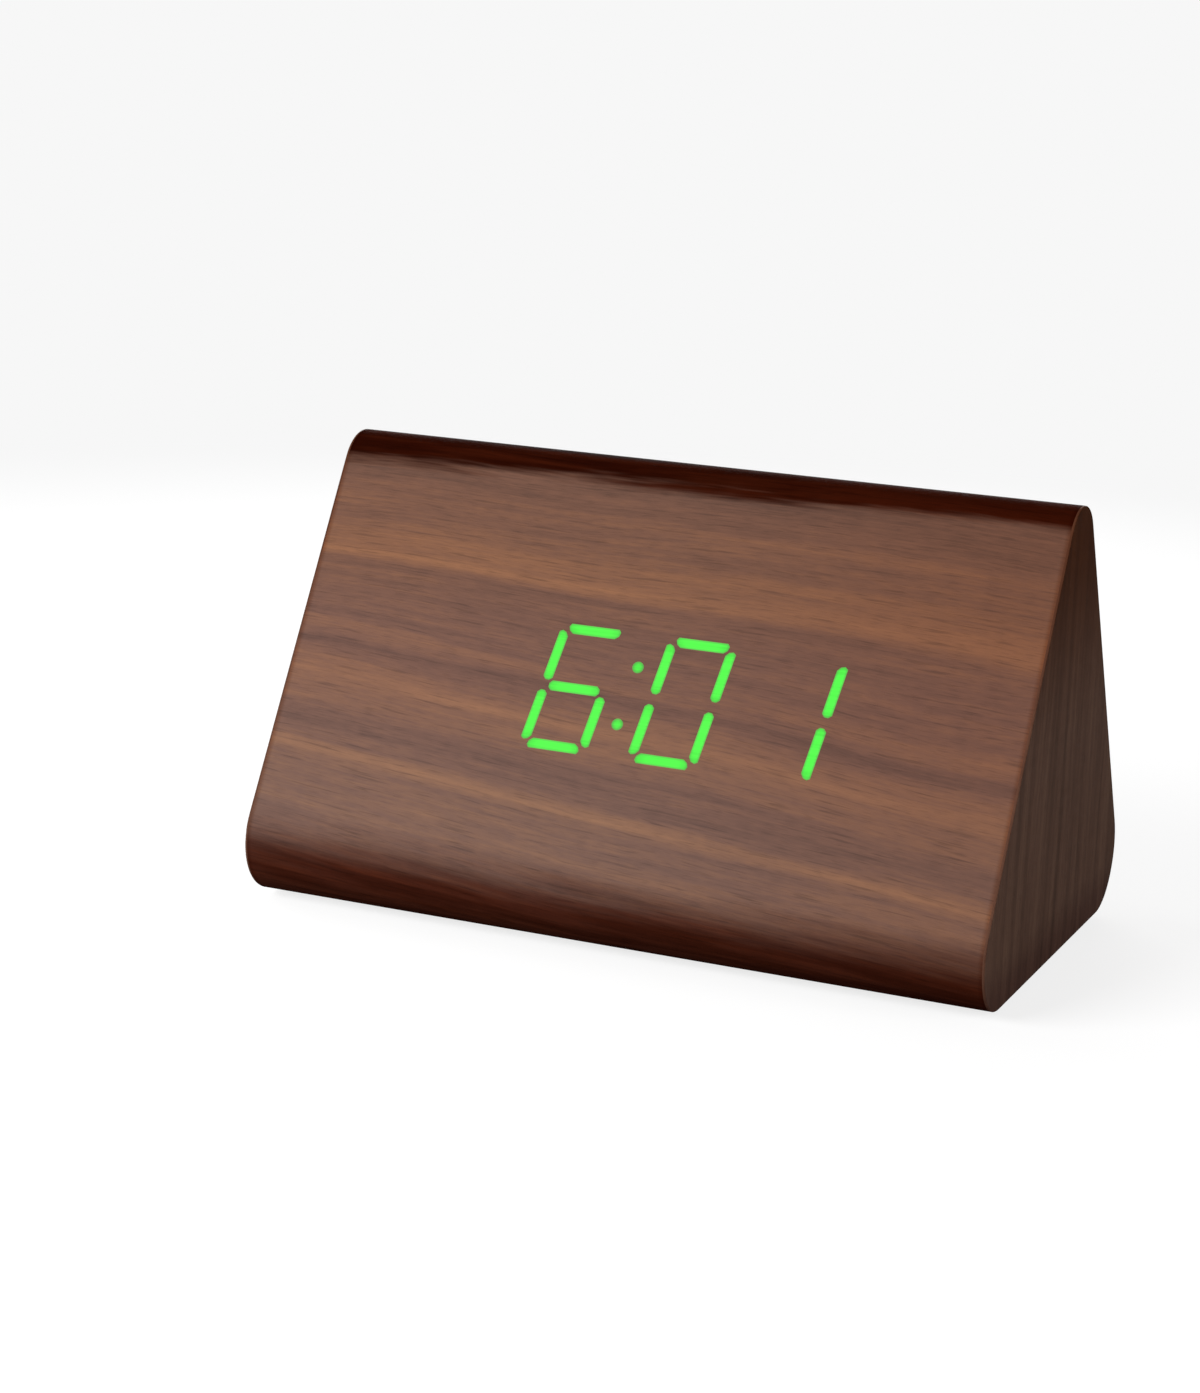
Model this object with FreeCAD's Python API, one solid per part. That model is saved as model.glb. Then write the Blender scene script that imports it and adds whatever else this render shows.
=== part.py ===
import FreeCAD
import Part

import math
import os

# Desk alarm clock: a rounded triangular prism of veneered fibreboard. A four-digit display
# shines through the veneer of the front slope. The rear slope carries a plastic panel with
# the battery bay and its door, three push buttons, the sounder slots and the power socket.
#
# Millimetres. +Z is up, +X runs along the clock, and the front slope faces -Y. The origin is
# on the resting surface, under the middle of the clock.
#
# Each slope has a flat working frame of its own: x to the right for someone who faces that
# slope, y up the slope, and z out of it, with z = 0 on the outer face of the veneer.

# ---------------------------------------------------------------- driving dimensions
# Outer form, measured between the sharp corners that the rounding takes away
CASE_LENGTH = 150.0
BASE_WIDTH = 108.0
RIDGE_HEIGHT = 96.5
BASE_CORNER_RADIUS = 11.5
RIDGE_RADIUS = 8.5

# Walls
VENEER = 0.5
GLUE_LINE = 0.05
FIBREBOARD = 6.0
END_PANEL_THICKNESS = 6.0
VENEER_EDGE_ROUND = 0.3
WRAP_SEAM = 0.15
WRAP_SEAM_FROM_MIDDLE = 20.0

# Feet
FOOT_HEIGHT = 1.0
FOOT_DIAMETER = 8.0
FOOT_EDGE_ROUND = 0.3
FOOT_FROM_END = 14.0
FOOT_FROM_EDGE = 28.0

# Display: where its centre lies on the front slope, and its figures
DISPLAY_X = -3.1
DISPLAY_BELOW_MIDDLE = 3.8
DIGIT_PITCH = 22.2
DIGIT_HALF_HEIGHT = 11.7
DIGIT_HALF_WIDTH = 6.05
DIGIT_SLANT = 6.8
SEGMENT_WIDTH = 2.0
SEGMENT_MITRE = 0.6
FLAT_SEGMENT_LENGTH = 10.5
UPRIGHT_SEGMENT_LENGTH = 10.1
COLON_DOT_DIAMETER = 2.3
COLON_HALF_HEIGHT = 5.8
SHOWN = ("", "acdefg", "abcdef", "bc")

# Display module and its board
REFLECTOR_BORDER_X = 5.1
REFLECTOR_BORDER_Y = 3.5
REFLECTOR_CLEARANCE = 0.2
DIFFUSER_DEPTH = 2.0
BOND_LINE = 0.05
LED_LENGTH = 2.0
LED_WIDTH = 1.2
LED_HEIGHT = 0.8
BOARD_THICKNESS = 1.6
BOARD_MARGIN_X = 9.0
BOARD_MARGIN_Y = 6.0
SPACER_HEIGHT = 2.0
SPACER_DIAMETER = 5.4
BOARD_SCREW_INSET = 4.0
BOARD_SCREW_DIAMETER = 2.6
BOARD_SCREW_BITE = 4.5
RUNNING_GAP = 0.1

# Cells: four side by side, in line with the clock
CELL_DIAMETER = 10.5
CELL_LENGTH = 44.5
CELL_NUB_DIAMETER = 3.8
CELL_NUB_LENGTH = 1.0
CELL_SLEEVE = 0.25
CELL_SPACING = 0.5
CELL_COUNT = 4
CELL_HEADROOM = 0.4
CELL_FLOOR_GAP = 0.2

# Cell contacts
SPRING_ROOM = 4.05
SPRING_WIRE = 0.5
SPRING_TURNS = 3.0
SPRING_WIDE_RADIUS = 3.2
SPRING_NARROW_RADIUS = 1.8
PLATE = 0.3
PLATE_WIDTH = 8.6
DIMPLE_DIAMETER = 4.0
DIMPLE_HEIGHT = 0.8
CONTACT_GAP = 0.05
TAB_WIDTH = 2.4
TAB_BEYOND_FLOOR = 1.8

# Rear panel
PANEL_THICKNESS = 2.0
PANEL_CORNER_RADIUS = 4.0
PANEL_EDGE_ROUND = 0.4
PANEL_GAP = 0.15
PANEL_SIDE_LEDGE = 8.0
PANEL_END_LEDGE = 4.0
OPENING_CORNER_RADIUS = 2.0
OPENING_CLEARANCE = 0.5
PANEL_SCREW_DIAMETER = 2.6
PANEL_SCREW_HEAD = 5.0
PANEL_SCREW_SEAT = 0.8
PANEL_SCREW_BITE = 4.0
PANEL_SCREW_FROM_END = 5.0

# Battery bay
BAY_WALL = 1.5
BAY_COLLAR = 1.0
BAY_COLLAR_DEPTH = 2.0
RIB_WIDTH = 1.0
RIB_HEIGHT = 1.6
SCOOP_RADIUS = 16.0
SCOOP_DEPTH = 0.9

# Battery door
DOOR_GAP = 0.3
DOOR_CORNER_RADIUS = 0.6
DOOR_HOOK_LENGTH = 1.2
DOOR_HOOK_WIDTH = 6.0
DOOR_HOOK_THICKNESS = 1.1
DOOR_HOOK_ROOT = 2.0
DOOR_HOOK_SPREAD = 15.0
LATCH_WIDTH = 13.0
LATCH_LENGTH = 9.0
LATCH_SLOT = 0.8
GRIP_RIDGES = 4
GRIP_RIDGE_PITCH = 1.6
GRIP_RIDGE_WIDTH = 0.8
GRIP_RIDGE_HEIGHT = 0.35

# Control board and its posts
CONTROL_BOARD_WIDTH = 48.0
CONTROL_BOARD_HEIGHT = 40.0
CONTROL_BOARD_SIDE_GAP = 3.25
CONTROL_BOARD_BEHIND_PANEL = 6.0
POST_DIAMETER = 5.0
POST_INSET = 3.2
POST_SCREW_DIAMETER = 2.0
POST_SCREW_BITE = 4.0

# Buttons and their switches
BUTTON_PITCH = 14.0
BUTTON_Y = 12.0
BUTTON_DIAMETER = 7.0
BUTTON_GAP = 0.2
BUTTON_PROUD = 1.2
BUTTON_EDGE_ROUND = 0.6
BUTTON_FLANGE_OVERLAP = 1.2
BUTTON_FLANGE = 0.8
BUTTON_TRAVEL = 0.3
BUTTON_SURROUND_WIDTH = 1.0
BUTTON_SURROUND_DEPTH = 0.3
MARK_DEPTH = 0.25
MARK_WIDTH = 0.6
MARK_LENGTH = 3.0
PLUNGER_DIAMETER = 3.5
PLUNGER_IN_SWITCH = 1.0
SWITCH_SIDE = 6.0
SWITCH_HEIGHT = 3.5

# Sounder and power socket, placed from the middle of the control board
SOUNDER_OFFSET = (-10.5, -8.0)
SOUNDER_DIAMETER = 12.0
SOUNDER_BELOW_PANEL = 0.6
SOUND_SLOTS = 5
SOUND_SLOT_LENGTH = 11.0
SOUND_SLOT_WIDTH = 1.2
SOUND_SLOT_PITCH = 2.4
SOCKET_OFFSET = (12.0, -10.0)
SOCKET_WIDTH = 7.6
SOCKET_HEIGHT = 2.7
SOCKET_CORNER_RADIUS = 0.8
SOCKET_SHELL = 0.3
SOCKET_BELOW_FACE = 0.8
SOCKET_BASE_HEIGHT = 1.5
SOCKET_TONGUE_WIDTH = 4.4
SOCKET_TONGUE_THICKNESS = 0.7
SOCKET_WINDOW_GAP = 0.35
SOCKET_RECESS_BORDER = 1.5
SOCKET_RECESS_DEPTH = 0.5

# Wiring between the two boards and from the cells
LEAD_DIAMETER = 1.3
LEAD_BEND = 4.0
LEAD_TO_BOARD_EDGE = 8.75
RIBBON_WIDTH = 10.2
RIBBON_THICKNESS = 0.9
RIBBON_BEND = 15.0
RIBBON_BELOW_MIDDLE = 15.0
HEADER_WIDTH = 13.0
HEADER_HEIGHT = 5.0
HEADER_DEPTH = 5.5

# ---------------------------------------------------------------- derived form
X = FreeCAD.Vector(1, 0, 0)
Y = FreeCAD.Vector(0, 1, 0)
Z = FreeCAD.Vector(0, 0, 1)
NOWHERE = FreeCAD.Vector(0, 0, 0)
OVERCUT = 1.0
TINY = 1e-6

SLOPE_ANGLE = math.atan2(RIDGE_HEIGHT, BASE_WIDTH / 2)
SLOPE_LENGTH = math.hypot(RIDGE_HEIGHT, BASE_WIDTH / 2)
SLOPE_SIN = math.sin(SLOPE_ANGLE)
SLOPE_COS = math.cos(SLOPE_ANGLE)
CORE_FACE = VENEER + GLUE_LINE
CORE_BACK = CORE_FACE + FIBREBOARD
FLAT_START = BASE_CORNER_RADIUS / math.tan(SLOPE_ANGLE / 2)
FLAT_END = SLOPE_LENGTH - RIDGE_RADIUS / math.tan(math.pi / 2 - SLOPE_ANGLE)
FLAT_MIDDLE = (FLAT_START + FLAT_END) / 2
WRAP_HALF_LENGTH = CASE_LENGTH / 2 - VENEER
CORE_HALF_LENGTH = WRAP_HALF_LENGTH - GLUE_LINE

# Display, seen from the front
LEAN = math.tan(math.radians(DIGIT_SLANT))
FIGURES_HALF_HEIGHT = DIGIT_HALF_HEIGHT + SEGMENT_WIDTH / 2
FIGURES_HALF_WIDTH = (
    DIGIT_PITCH * (len(SHOWN) - 1) / 2 + DIGIT_HALF_WIDTH + SEGMENT_WIDTH / 2 + DIGIT_HALF_HEIGHT * LEAN
)
REFLECTOR_WIDTH = 2 * (FIGURES_HALF_WIDTH + REFLECTOR_BORDER_X)
REFLECTOR_HEIGHT = 2 * (FIGURES_HALF_HEIGHT + REFLECTOR_BORDER_Y)
REFLECTOR_DEPTH = FIBREBOARD + SPACER_HEIGHT
DISPLAY_BOARD_WIDTH = REFLECTOR_WIDTH + 2 * BOARD_MARGIN_X
DISPLAY_BOARD_HEIGHT = REFLECTOR_HEIGHT + 2 * BOARD_MARGIN_Y
REFLECTOR_FACE = -CORE_FACE
DISPLAY_BOARD_FRONT = REFLECTOR_FACE - REFLECTOR_DEPTH
DISPLAY_BOARD_BACK = DISPLAY_BOARD_FRONT - BOARD_THICKNESS
BOARD_SCREW_HOLE = BOARD_SCREW_DIAMETER + 2 * RUNNING_GAP

# Battery bay, seen from behind
CELL_PITCH = CELL_DIAMETER + CELL_SPACING
CELL_Y = [(i - (CELL_COUNT - 1) / 2) * CELL_PITCH for i in range(CELL_COUNT)]
BAY_LENGTH = 2 * PLATE + DIMPLE_HEIGHT + CONTACT_GAP + CELL_LENGTH + SPRING_ROOM
BAY_HEIGHT = CELL_COUNT * CELL_PITCH
DOORWAY_LENGTH = BAY_LENGTH + 2 * BAY_WALL
DOORWAY_HEIGHT = BAY_HEIGHT + 2 * BAY_WALL
COLLAR_LENGTH = DOORWAY_LENGTH + 2 * BAY_COLLAR
COLLAR_HEIGHT = DOORWAY_HEIGHT + 2 * BAY_COLLAR
PANEL_BACK = -PANEL_THICKNESS
RIM_TOP = PANEL_BACK - DOOR_GAP
CELL_AXIS = PANEL_BACK - CELL_HEADROOM - CELL_DIAMETER / 2
BAY_FLOOR = CELL_AXIS - CELL_DIAMETER / 2 - CELL_FLOOR_GAP
BAY_BOTTOM = BAY_FLOOR - BAY_WALL

# Rear panel: the bay and the control board lie side by side in its opening
CONTROL_SPACE = CONTROL_BOARD_WIDTH + 2 * CONTROL_BOARD_SIDE_GAP
OPENING_WIDTH = OPENING_CLEARANCE + COLLAR_LENGTH + CONTROL_SPACE
OPENING_HEIGHT = COLLAR_HEIGHT + 2 * OPENING_CLEARANCE
PANEL_WIDTH = OPENING_WIDTH + 2 * PANEL_SIDE_LEDGE
PANEL_HEIGHT = OPENING_HEIGHT + 2 * PANEL_END_LEDGE
BAY_X = -OPENING_WIDTH / 2 + OPENING_CLEARANCE + COLLAR_LENGTH / 2
BAY_LEFT = BAY_X - BAY_LENGTH / 2
BAY_RIGHT = BAY_X + BAY_LENGTH / 2
CONTROL_X = OPENING_WIDTH / 2 - CONTROL_SPACE / 2
CONTROL_FRONT = PANEL_BACK - CONTROL_BOARD_BEHIND_PANEL
CONTROL_BACK = CONTROL_FRONT - BOARD_THICKNESS
PANEL_SEAT = PANEL_BACK + PANEL_SCREW_SEAT
PANEL_SCREW_HOLE = PANEL_SCREW_DIAMETER + 2 * RUNNING_GAP

# Battery door
DOOR_LENGTH = DOORWAY_LENGTH - 2 * DOOR_GAP
DOOR_HEIGHT = DOORWAY_HEIGHT - 2 * DOOR_GAP
HOOK_BOTTOM = RIM_TOP - DOOR_HOOK_THICKNESS
HOOK_SWEEP = math.hypot(max(DOOR_HOOK_LENGTH + DOOR_GAP, DOOR_HOOK_ROOT), HOOK_BOTTOM)

# Buttons
BUTTON_X = [CONTROL_X + step * BUTTON_PITCH for step in (-1, 0, 1)]
BUTTON_NAMES = ("set", "up", "down")
FLANGE_TOP = PANEL_BACK - RUNNING_GAP
FLANGE_BOTTOM = FLANGE_TOP - BUTTON_FLANGE
SWITCH_TOP = CONTROL_FRONT + SWITCH_HEIGHT
SOUNDER = (CONTROL_X + SOUNDER_OFFSET[0], SOUNDER_OFFSET[1])
SOCKET = (CONTROL_X + SOCKET_OFFSET[0], SOCKET_OFFSET[1])


def vec(x, y, z):
    return FreeCAD.Vector(x, y, z)


def slope_frame(side, x, up_slope):
    """Working frame of a slope, side -1 for the front and +1 for the rear."""
    right = vec(-side, 0, 0)
    up = vec(0, -side * SLOPE_COS, SLOPE_SIN)
    out = vec(0, side * SLOPE_SIN, SLOPE_COS)
    foot = vec(0, side * BASE_WIDTH / 2, FOOT_HEIGHT)
    origin = foot + up * up_slope + right * x
    matrix = FreeCAD.Matrix(
        right.x, up.x, out.x, origin.x,
        right.y, up.y, out.y, origin.y,
        right.z, up.z, out.z, origin.z,
    )
    return FreeCAD.Placement(matrix)


DISPLAY = slope_frame(-1, DISPLAY_X, FLAT_MIDDLE - DISPLAY_BELOW_MIDDLE)
PANEL = slope_frame(1, 0, FLAT_MIDDLE)


def place(shape, frame):
    moved = shape.copy()
    moved.Placement = frame.multiply(moved.Placement)
    return moved


def one_solid(shape):
    """The single solid of a shape. Anything else stops the build."""
    if len(shape.Solids) != 1:
        raise ValueError("expected one solid, found %d" % len(shape.Solids))
    return shape.Solids[0]


def export(name, solids, frame=None):
    """Writes one node: a single solid, or a group of separate solids."""
    solids = solids if isinstance(solids, list) else [solids]
    solids = [one_solid(s) for s in solids]
    if frame is not None:
        solids = [place(s, frame) for s in solids]
    shape = solids[0] if len(solids) == 1 else Part.makeCompound(solids)
    shape.exportStep("parts/" + name + ".step")


# ---------------------------------------------------------------- basic solids, in a flat frame
def block(cx, cy, width, height, low, high):
    return Part.makeBox(width, height, high - low, vec(cx - width / 2, cy - height / 2, low))


def rod(cx, cy, diameter, low, high):
    return Part.makeCylinder(diameter / 2, high - low, vec(cx, cy, low))


def rod_along_x(x0, x1, y, z, diameter):
    return Part.makeCylinder(diameter / 2, abs(x1 - x0), vec(min(x0, x1), y, z), X)


def fillet_edges(solid, radius, wanted):
    return solid.makeFillet(radius, [e for e in solid.Edges if wanted(e)])


def rounded_block(cx, cy, width, height, radius, low, high):
    solid = block(cx, cy, width, height, low, high)
    return fillet_edges(solid, radius, lambda e: e.BoundBox.ZLength > TINY)


def stadium(cx, cy, length, width, angle, low, high):
    """A bar with round ends, its long side turned by angle in degrees from x."""
    half = (length - width) / 2
    bar = block(0, 0, 2 * half, width, low, high)
    ends = [rod(-half, 0, width, low, high), rod(half, 0, width, low, high)]
    solid = bar.fuse(ends).removeSplitter()
    solid.rotate(NOWHERE, Z, angle)
    solid.translate(vec(cx, cy, 0))
    return solid


def mitred_bar(cx, cy, length, width, mitre, angle, low, high):
    """A bar that narrows to a blunt point at each end, turned by angle in degrees from x."""
    quarter = [(length / 2 - mitre, width / 2), (length / 2, width / 2 - mitre)]
    half = quarter + [(x, -y) for x, y in reversed(quarter)]
    outline = half + [(-x, -y) for x, y in half]
    wire = Part.makePolygon([vec(x, y, low) for x, y in outline + outline[:1]])
    solid = Part.Face(wire).extrude(vec(0, 0, high - low))
    solid.rotate(NOWHERE, Z, angle)
    solid.translate(vec(cx, cy, 0))
    return solid


def corner_places(width, height, inset_x, inset_y, cx=0.0):
    dx = width / 2 - inset_x
    dy = height / 2 - inset_y
    return [(cx + sx * dx, sy * dy) for sx in (-1, 1) for sy in (-1, 1)]


def bend_route(points, radius):
    """Straight runs through the points, joined by tangent arcs."""
    edges = []
    start = points[0]
    for i in range(1, len(points) - 1):
        corner = points[i]
        back = (points[i - 1] - corner).normalize()
        ahead = (points[i + 1] - corner).normalize()
        half_angle = back.getAngle(ahead) / 2
        reach = radius / math.tan(half_angle)
        nearest = radius / math.sin(half_angle) - radius
        middle = corner + (back + ahead).normalize() * nearest
        arc_end = corner + ahead * reach
        edges.append(Part.LineSegment(start, corner + back * reach).toShape())
        edges.append(Part.Arc(corner + back * reach, middle, arc_end).toShape())
        start = arc_end
    edges.append(Part.LineSegment(start, points[-1]).toShape())
    return Part.Wire(edges)


# ---------------------------------------------------------------- screws
def screw(cx, cy, diameter, head_diameter, length, seat, points):
    """Pan-head thread-forming screw with its head on seat. points is -1 for -z, +1 for +z."""
    radius = diameter / 2
    core = radius * 0.76
    pitch = diameter * 0.42
    head = diameter * 0.42
    tip = diameter * 0.5
    outline = [(0, head), (head_diameter * 0.32, head), (head_diameter / 2, head * 0.4)]
    outline += [(head_diameter / 2, 0), (core, 0)]
    for turn in range(int((length - tip) / pitch)):
        depth = -turn * pitch
        outline += [(core, depth - pitch * 0.3), (radius, depth - pitch * 0.6), (core, depth - pitch * 0.9)]
    outline += [(core, -(length - tip)), (0, -length), (0, head)]
    half_section = Part.Face(Part.makePolygon([vec(r, 0, z) for r, z in outline]))
    solid = half_section.revolve(NOWHERE, Z, 360)
    span = head_diameter * 0.56
    slot = diameter * 0.28
    solid = solid.cut(block(0, 0, span, slot, head * 0.3, head + OVERCUT))
    solid = solid.cut(block(0, 0, slot, span, head * 0.3, head + OVERCUT))
    if points > 0:
        solid.rotate(NOWHERE, X, 180)
    solid.translate(vec(cx, cy, seat))
    return solid


# ---------------------------------------------------------------- the triangular section
def section_corners(inset):
    """Sharp corners and radii of the section, moved in by inset: (y, z, radius)."""
    half = BASE_WIDTH / 2 - inset / math.tan(SLOPE_ANGLE / 2)
    top = RIDGE_HEIGHT - inset / SLOPE_COS
    base_radius = BASE_CORNER_RADIUS - inset
    ridge_radius = RIDGE_RADIUS - inset
    return [(-half, inset, base_radius), (half, inset, base_radius), (0.0, top, ridge_radius)]


def section_prism(inset, x0, x1):
    corners = section_corners(inset)
    points = [vec(x0, y, z + FOOT_HEIGHT) for y, z, _ in corners]
    arcs = []
    for i, corner in enumerate(points):
        before = (points[i - 1] - corner).normalize()
        after = (points[(i + 1) % 3] - corner).normalize()
        half_angle = before.getAngle(after) / 2
        radius = corners[i][2]
        reach = radius / math.tan(half_angle)
        nearest = radius / math.sin(half_angle) - radius
        middle = corner + (before + after).normalize() * nearest
        arcs.append((corner + before * reach, middle, corner + after * reach))
    edges = []
    for i, (start, middle, end) in enumerate(arcs):
        edges.append(Part.Arc(start, middle, end).toShape())
        edges.append(Part.LineSegment(end, arcs[(i + 1) % 3][0]).toShape())
    return Part.Face(Part.Wire(edges)).extrude(vec(x1 - x0, 0, 0))


def mitre_wedge(first, second):
    """Everything between the mitre planes of two corners of the section."""
    corners = section_corners(0)
    inradius = (BASE_WIDTH / 2) * math.tan(SLOPE_ANGLE / 2)
    centre = vec(-CASE_LENGTH, 0, inradius + FOOT_HEIGHT)
    beyond = 1.5
    outline = [centre]
    for y, z, _ in (corners[first], corners[second]):
        corner = vec(-CASE_LENGTH, y, z + FOOT_HEIGHT)
        outline.append(centre + (corner - centre) * beyond)
    outline.append(centre)
    return Part.Face(Part.makePolygon(outline)).extrude(vec(2 * CASE_LENGTH, 0, 0))


# ---------------------------------------------------------------- case
BOARD_SCREWS = corner_places(
    DISPLAY_BOARD_WIDTH, DISPLAY_BOARD_HEIGHT, BOARD_SCREW_INSET, BOARD_SCREW_INSET
)
PANEL_SCREWS = corner_places(PANEL_WIDTH, PANEL_HEIGHT, PANEL_SIDE_LEDGE / 2, PANEL_SCREW_FROM_END)


def panel_outline(gap, low, high):
    width = PANEL_WIDTH + 2 * gap
    height = PANEL_HEIGHT + 2 * gap
    return rounded_block(0, 0, width, height, PANEL_CORNER_RADIUS + gap, low, high)


def case_tube():
    outer = section_prism(CORE_FACE, -CORE_HALF_LENGTH, CORE_HALF_LENGTH)
    return outer.cut(section_prism(CORE_BACK, -CASE_LENGTH, CASE_LENGTH))


def front_wall(tube):
    """Fibreboard behind the display slope, with its window and four blind pilot holes."""
    wall = tube.common(mitre_wedge(0, 2))
    width = REFLECTOR_WIDTH + 2 * REFLECTOR_CLEARANCE
    height = REFLECTOR_HEIGHT + 2 * REFLECTOR_CLEARANCE
    wall = wall.cut(place(block(0, 0, width, height, -CORE_BACK - OVERCUT, OVERCUT), DISPLAY))
    depth = BOARD_SCREW_BITE + RUNNING_GAP
    for x, y in BOARD_SCREWS:
        pilot = rod(x, y, BOARD_SCREW_HOLE, -CORE_BACK - OVERCUT, -CORE_BACK + depth)
        wall = wall.cut(place(pilot, DISPLAY))
    return wall


def rear_wall(tube):
    """Fibreboard of the rear slope, with a rebate for the panel and a through opening."""
    wall = tube.common(mitre_wedge(1, 2))
    wall = wall.cut(place(panel_outline(PANEL_GAP, PANEL_BACK, OVERCUT), PANEL))
    opening = rounded_block(
        0, 0, OPENING_WIDTH, OPENING_HEIGHT, OPENING_CORNER_RADIUS, -CORE_BACK - OVERCUT, OVERCUT
    )
    wall = wall.cut(place(opening, PANEL))
    for x, y in PANEL_SCREWS:
        pilot = rod(x, y, PANEL_SCREW_HOLE, PANEL_BACK - PANEL_SCREW_BITE - RUNNING_GAP, OVERCUT)
        wall = wall.cut(place(pilot, PANEL))
    return wall


def base_wall(tube):
    return tube.common(mitre_wedge(0, 1))


def case_veneer():
    """One sheet of veneer round the three walls. Its edges meet under the base."""
    sheet = section_prism(0, -WRAP_HALF_LENGTH, WRAP_HALF_LENGTH)
    sheet = sheet.cut(section_prism(VENEER, -CASE_LENGTH, CASE_LENGTH))
    sheet = sheet.cut(place(panel_outline(PANEL_GAP, -CORE_BACK, OVERCUT), PANEL))
    corner = vec(-CASE_LENGTH, WRAP_SEAM_FROM_MIDDLE, FOOT_HEIGHT - OVERCUT)
    return sheet.cut(Part.makeBox(2 * CASE_LENGTH, WRAP_SEAM, 2 * OVERCUT, corner))


def end_panel(side):
    """Fibreboard plug glued inside the end of the three walls."""
    outer = side * CORE_HALF_LENGTH
    inner = side * (CORE_HALF_LENGTH - END_PANEL_THICKNESS)
    return section_prism(CORE_BACK + GLUE_LINE, min(outer, inner), max(outer, inner))


def end_veneer(side):
    """Veneer over the whole end, with its outer edge eased."""
    outer = side * CASE_LENGTH / 2
    inner = side * WRAP_HALF_LENGTH
    solid = section_prism(0, min(outer, inner), max(outer, inner))
    return fillet_edges(
        solid, VENEER_EDGE_ROUND, lambda e: all(abs(v.X - outer) < TINY for v in e.Vertexes)
    )


def rubber_feet():
    """Self-adhesive rubber pads near the corners of the base."""
    pads = []
    for sx in (-1, 1):
        for sy in (-1, 1):
            x = sx * (CASE_LENGTH / 2 - FOOT_FROM_END)
            y = sy * (BASE_WIDTH / 2 - FOOT_FROM_EDGE)
            pad = rod(x, y, FOOT_DIAMETER, 0, FOOT_HEIGHT)
            pads.append(fillet_edges(pad, FOOT_EDGE_ROUND, lambda e: e.BoundBox.ZMax < TINY))
    return pads


def build_case():
    tube = case_tube()
    export("front_wall", front_wall(tube))
    export("rear_wall", rear_wall(tube))
    export("base_wall", base_wall(tube))
    export("case_veneer", case_veneer())
    for name, side in (("left", -1), ("right", 1)):
        export(name + "_end_panel", end_panel(side))
        export(name + "_end_veneer", end_veneer(side))
    export("rubber_feet", rubber_feet())


# ---------------------------------------------------------------- display module
def segment_places():
    """Each segment of the display: (lit, x, y, length, angle)."""
    upright = 90 - DIGIT_SLANT
    half = DIGIT_HALF_HEIGHT / 2
    layout = {
        "a": (0, DIGIT_HALF_HEIGHT, FLAT_SEGMENT_LENGTH, 0),
        "g": (0, 0, FLAT_SEGMENT_LENGTH, 0),
        "d": (0, -DIGIT_HALF_HEIGHT, FLAT_SEGMENT_LENGTH, 0),
        "f": (-DIGIT_HALF_WIDTH, half, UPRIGHT_SEGMENT_LENGTH, upright),
        "b": (DIGIT_HALF_WIDTH, half, UPRIGHT_SEGMENT_LENGTH, upright),
        "e": (-DIGIT_HALF_WIDTH, -half, UPRIGHT_SEGMENT_LENGTH, upright),
        "c": (DIGIT_HALF_WIDTH, -half, UPRIGHT_SEGMENT_LENGTH, upright),
    }
    places = []
    for digit, shown in enumerate(SHOWN):
        centre = (digit - (len(SHOWN) - 1) / 2) * DIGIT_PITCH
        for name, (x, y, length, angle) in layout.items():
            places.append((name in shown, centre + x + y * LEAN, y, length, angle))
    return places


COLON_DOTS = [(y * LEAN, y) for y in (COLON_HALF_HEIGHT, -COLON_HALF_HEIGHT)]


def bars(shrink, low, high, lit=None):
    """Bars of the display: all of them, or only the lit or the dark ones."""
    solids = []
    for is_lit, x, y, length, angle in segment_places():
        if lit in (None, is_lit):
            size = (length - 2 * shrink, SEGMENT_WIDTH - 2 * shrink, SEGMENT_MITRE)
            solids.append(mitred_bar(x, y, *size, angle, low, high))
    return solids


def dots(shrink, low, high):
    return [rod(x, y, COLON_DOT_DIAMETER - 2 * shrink, low, high) for x, y in COLON_DOTS]


def reflector():
    """Moulded block with one light well behind each segment."""
    low = DISPLAY_BOARD_FRONT
    solid = rounded_block(0, 0, REFLECTOR_WIDTH, REFLECTOR_HEIGHT, 1.0, low, REFLECTOR_FACE)
    deep = (0, low - OVERCUT, REFLECTOR_FACE + OVERCUT)
    return solid.cut(bars(*deep) + dots(*deep))


def leds():
    low = DISPLAY_BOARD_FRONT
    high = low + LED_HEIGHT
    chips = []
    for _, x, y, _, angle in segment_places():
        chip = block(0, 0, LED_LENGTH, LED_WIDTH, low, high)
        chip.rotate(NOWHERE, Z, angle)
        chip.translate(vec(x, y, 0))
        chips.append(chip)
    return chips + [block(x, y, LED_WIDTH, LED_WIDTH, low, high) for x, y in COLON_DOTS]


def display_board():
    low = DISPLAY_BOARD_BACK
    high = DISPLAY_BOARD_FRONT
    board = rounded_block(0, 0, DISPLAY_BOARD_WIDTH, DISPLAY_BOARD_HEIGHT, 1.5, low, high)
    return board.cut([rod(x, y, BOARD_SCREW_HOLE, low - OVERCUT, high + OVERCUT) for x, y in BOARD_SCREWS])


def board_spacers():
    low = DISPLAY_BOARD_FRONT
    rings = []
    for x, y in BOARD_SCREWS:
        ring = rod(x, y, SPACER_DIAMETER, low, low + SPACER_HEIGHT)
        rings.append(ring.cut(rod(x, y, BOARD_SCREW_HOLE, low - OVERCUT, 0)))
    return rings


def board_screws():
    length = BOARD_THICKNESS + SPACER_HEIGHT + BOARD_SCREW_BITE
    head = BOARD_SCREW_DIAMETER * 1.9
    return [
        screw(x, y, BOARD_SCREW_DIAMETER, head, length, DISPLAY_BOARD_BACK, 1) for x, y in BOARD_SCREWS
    ]


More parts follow.
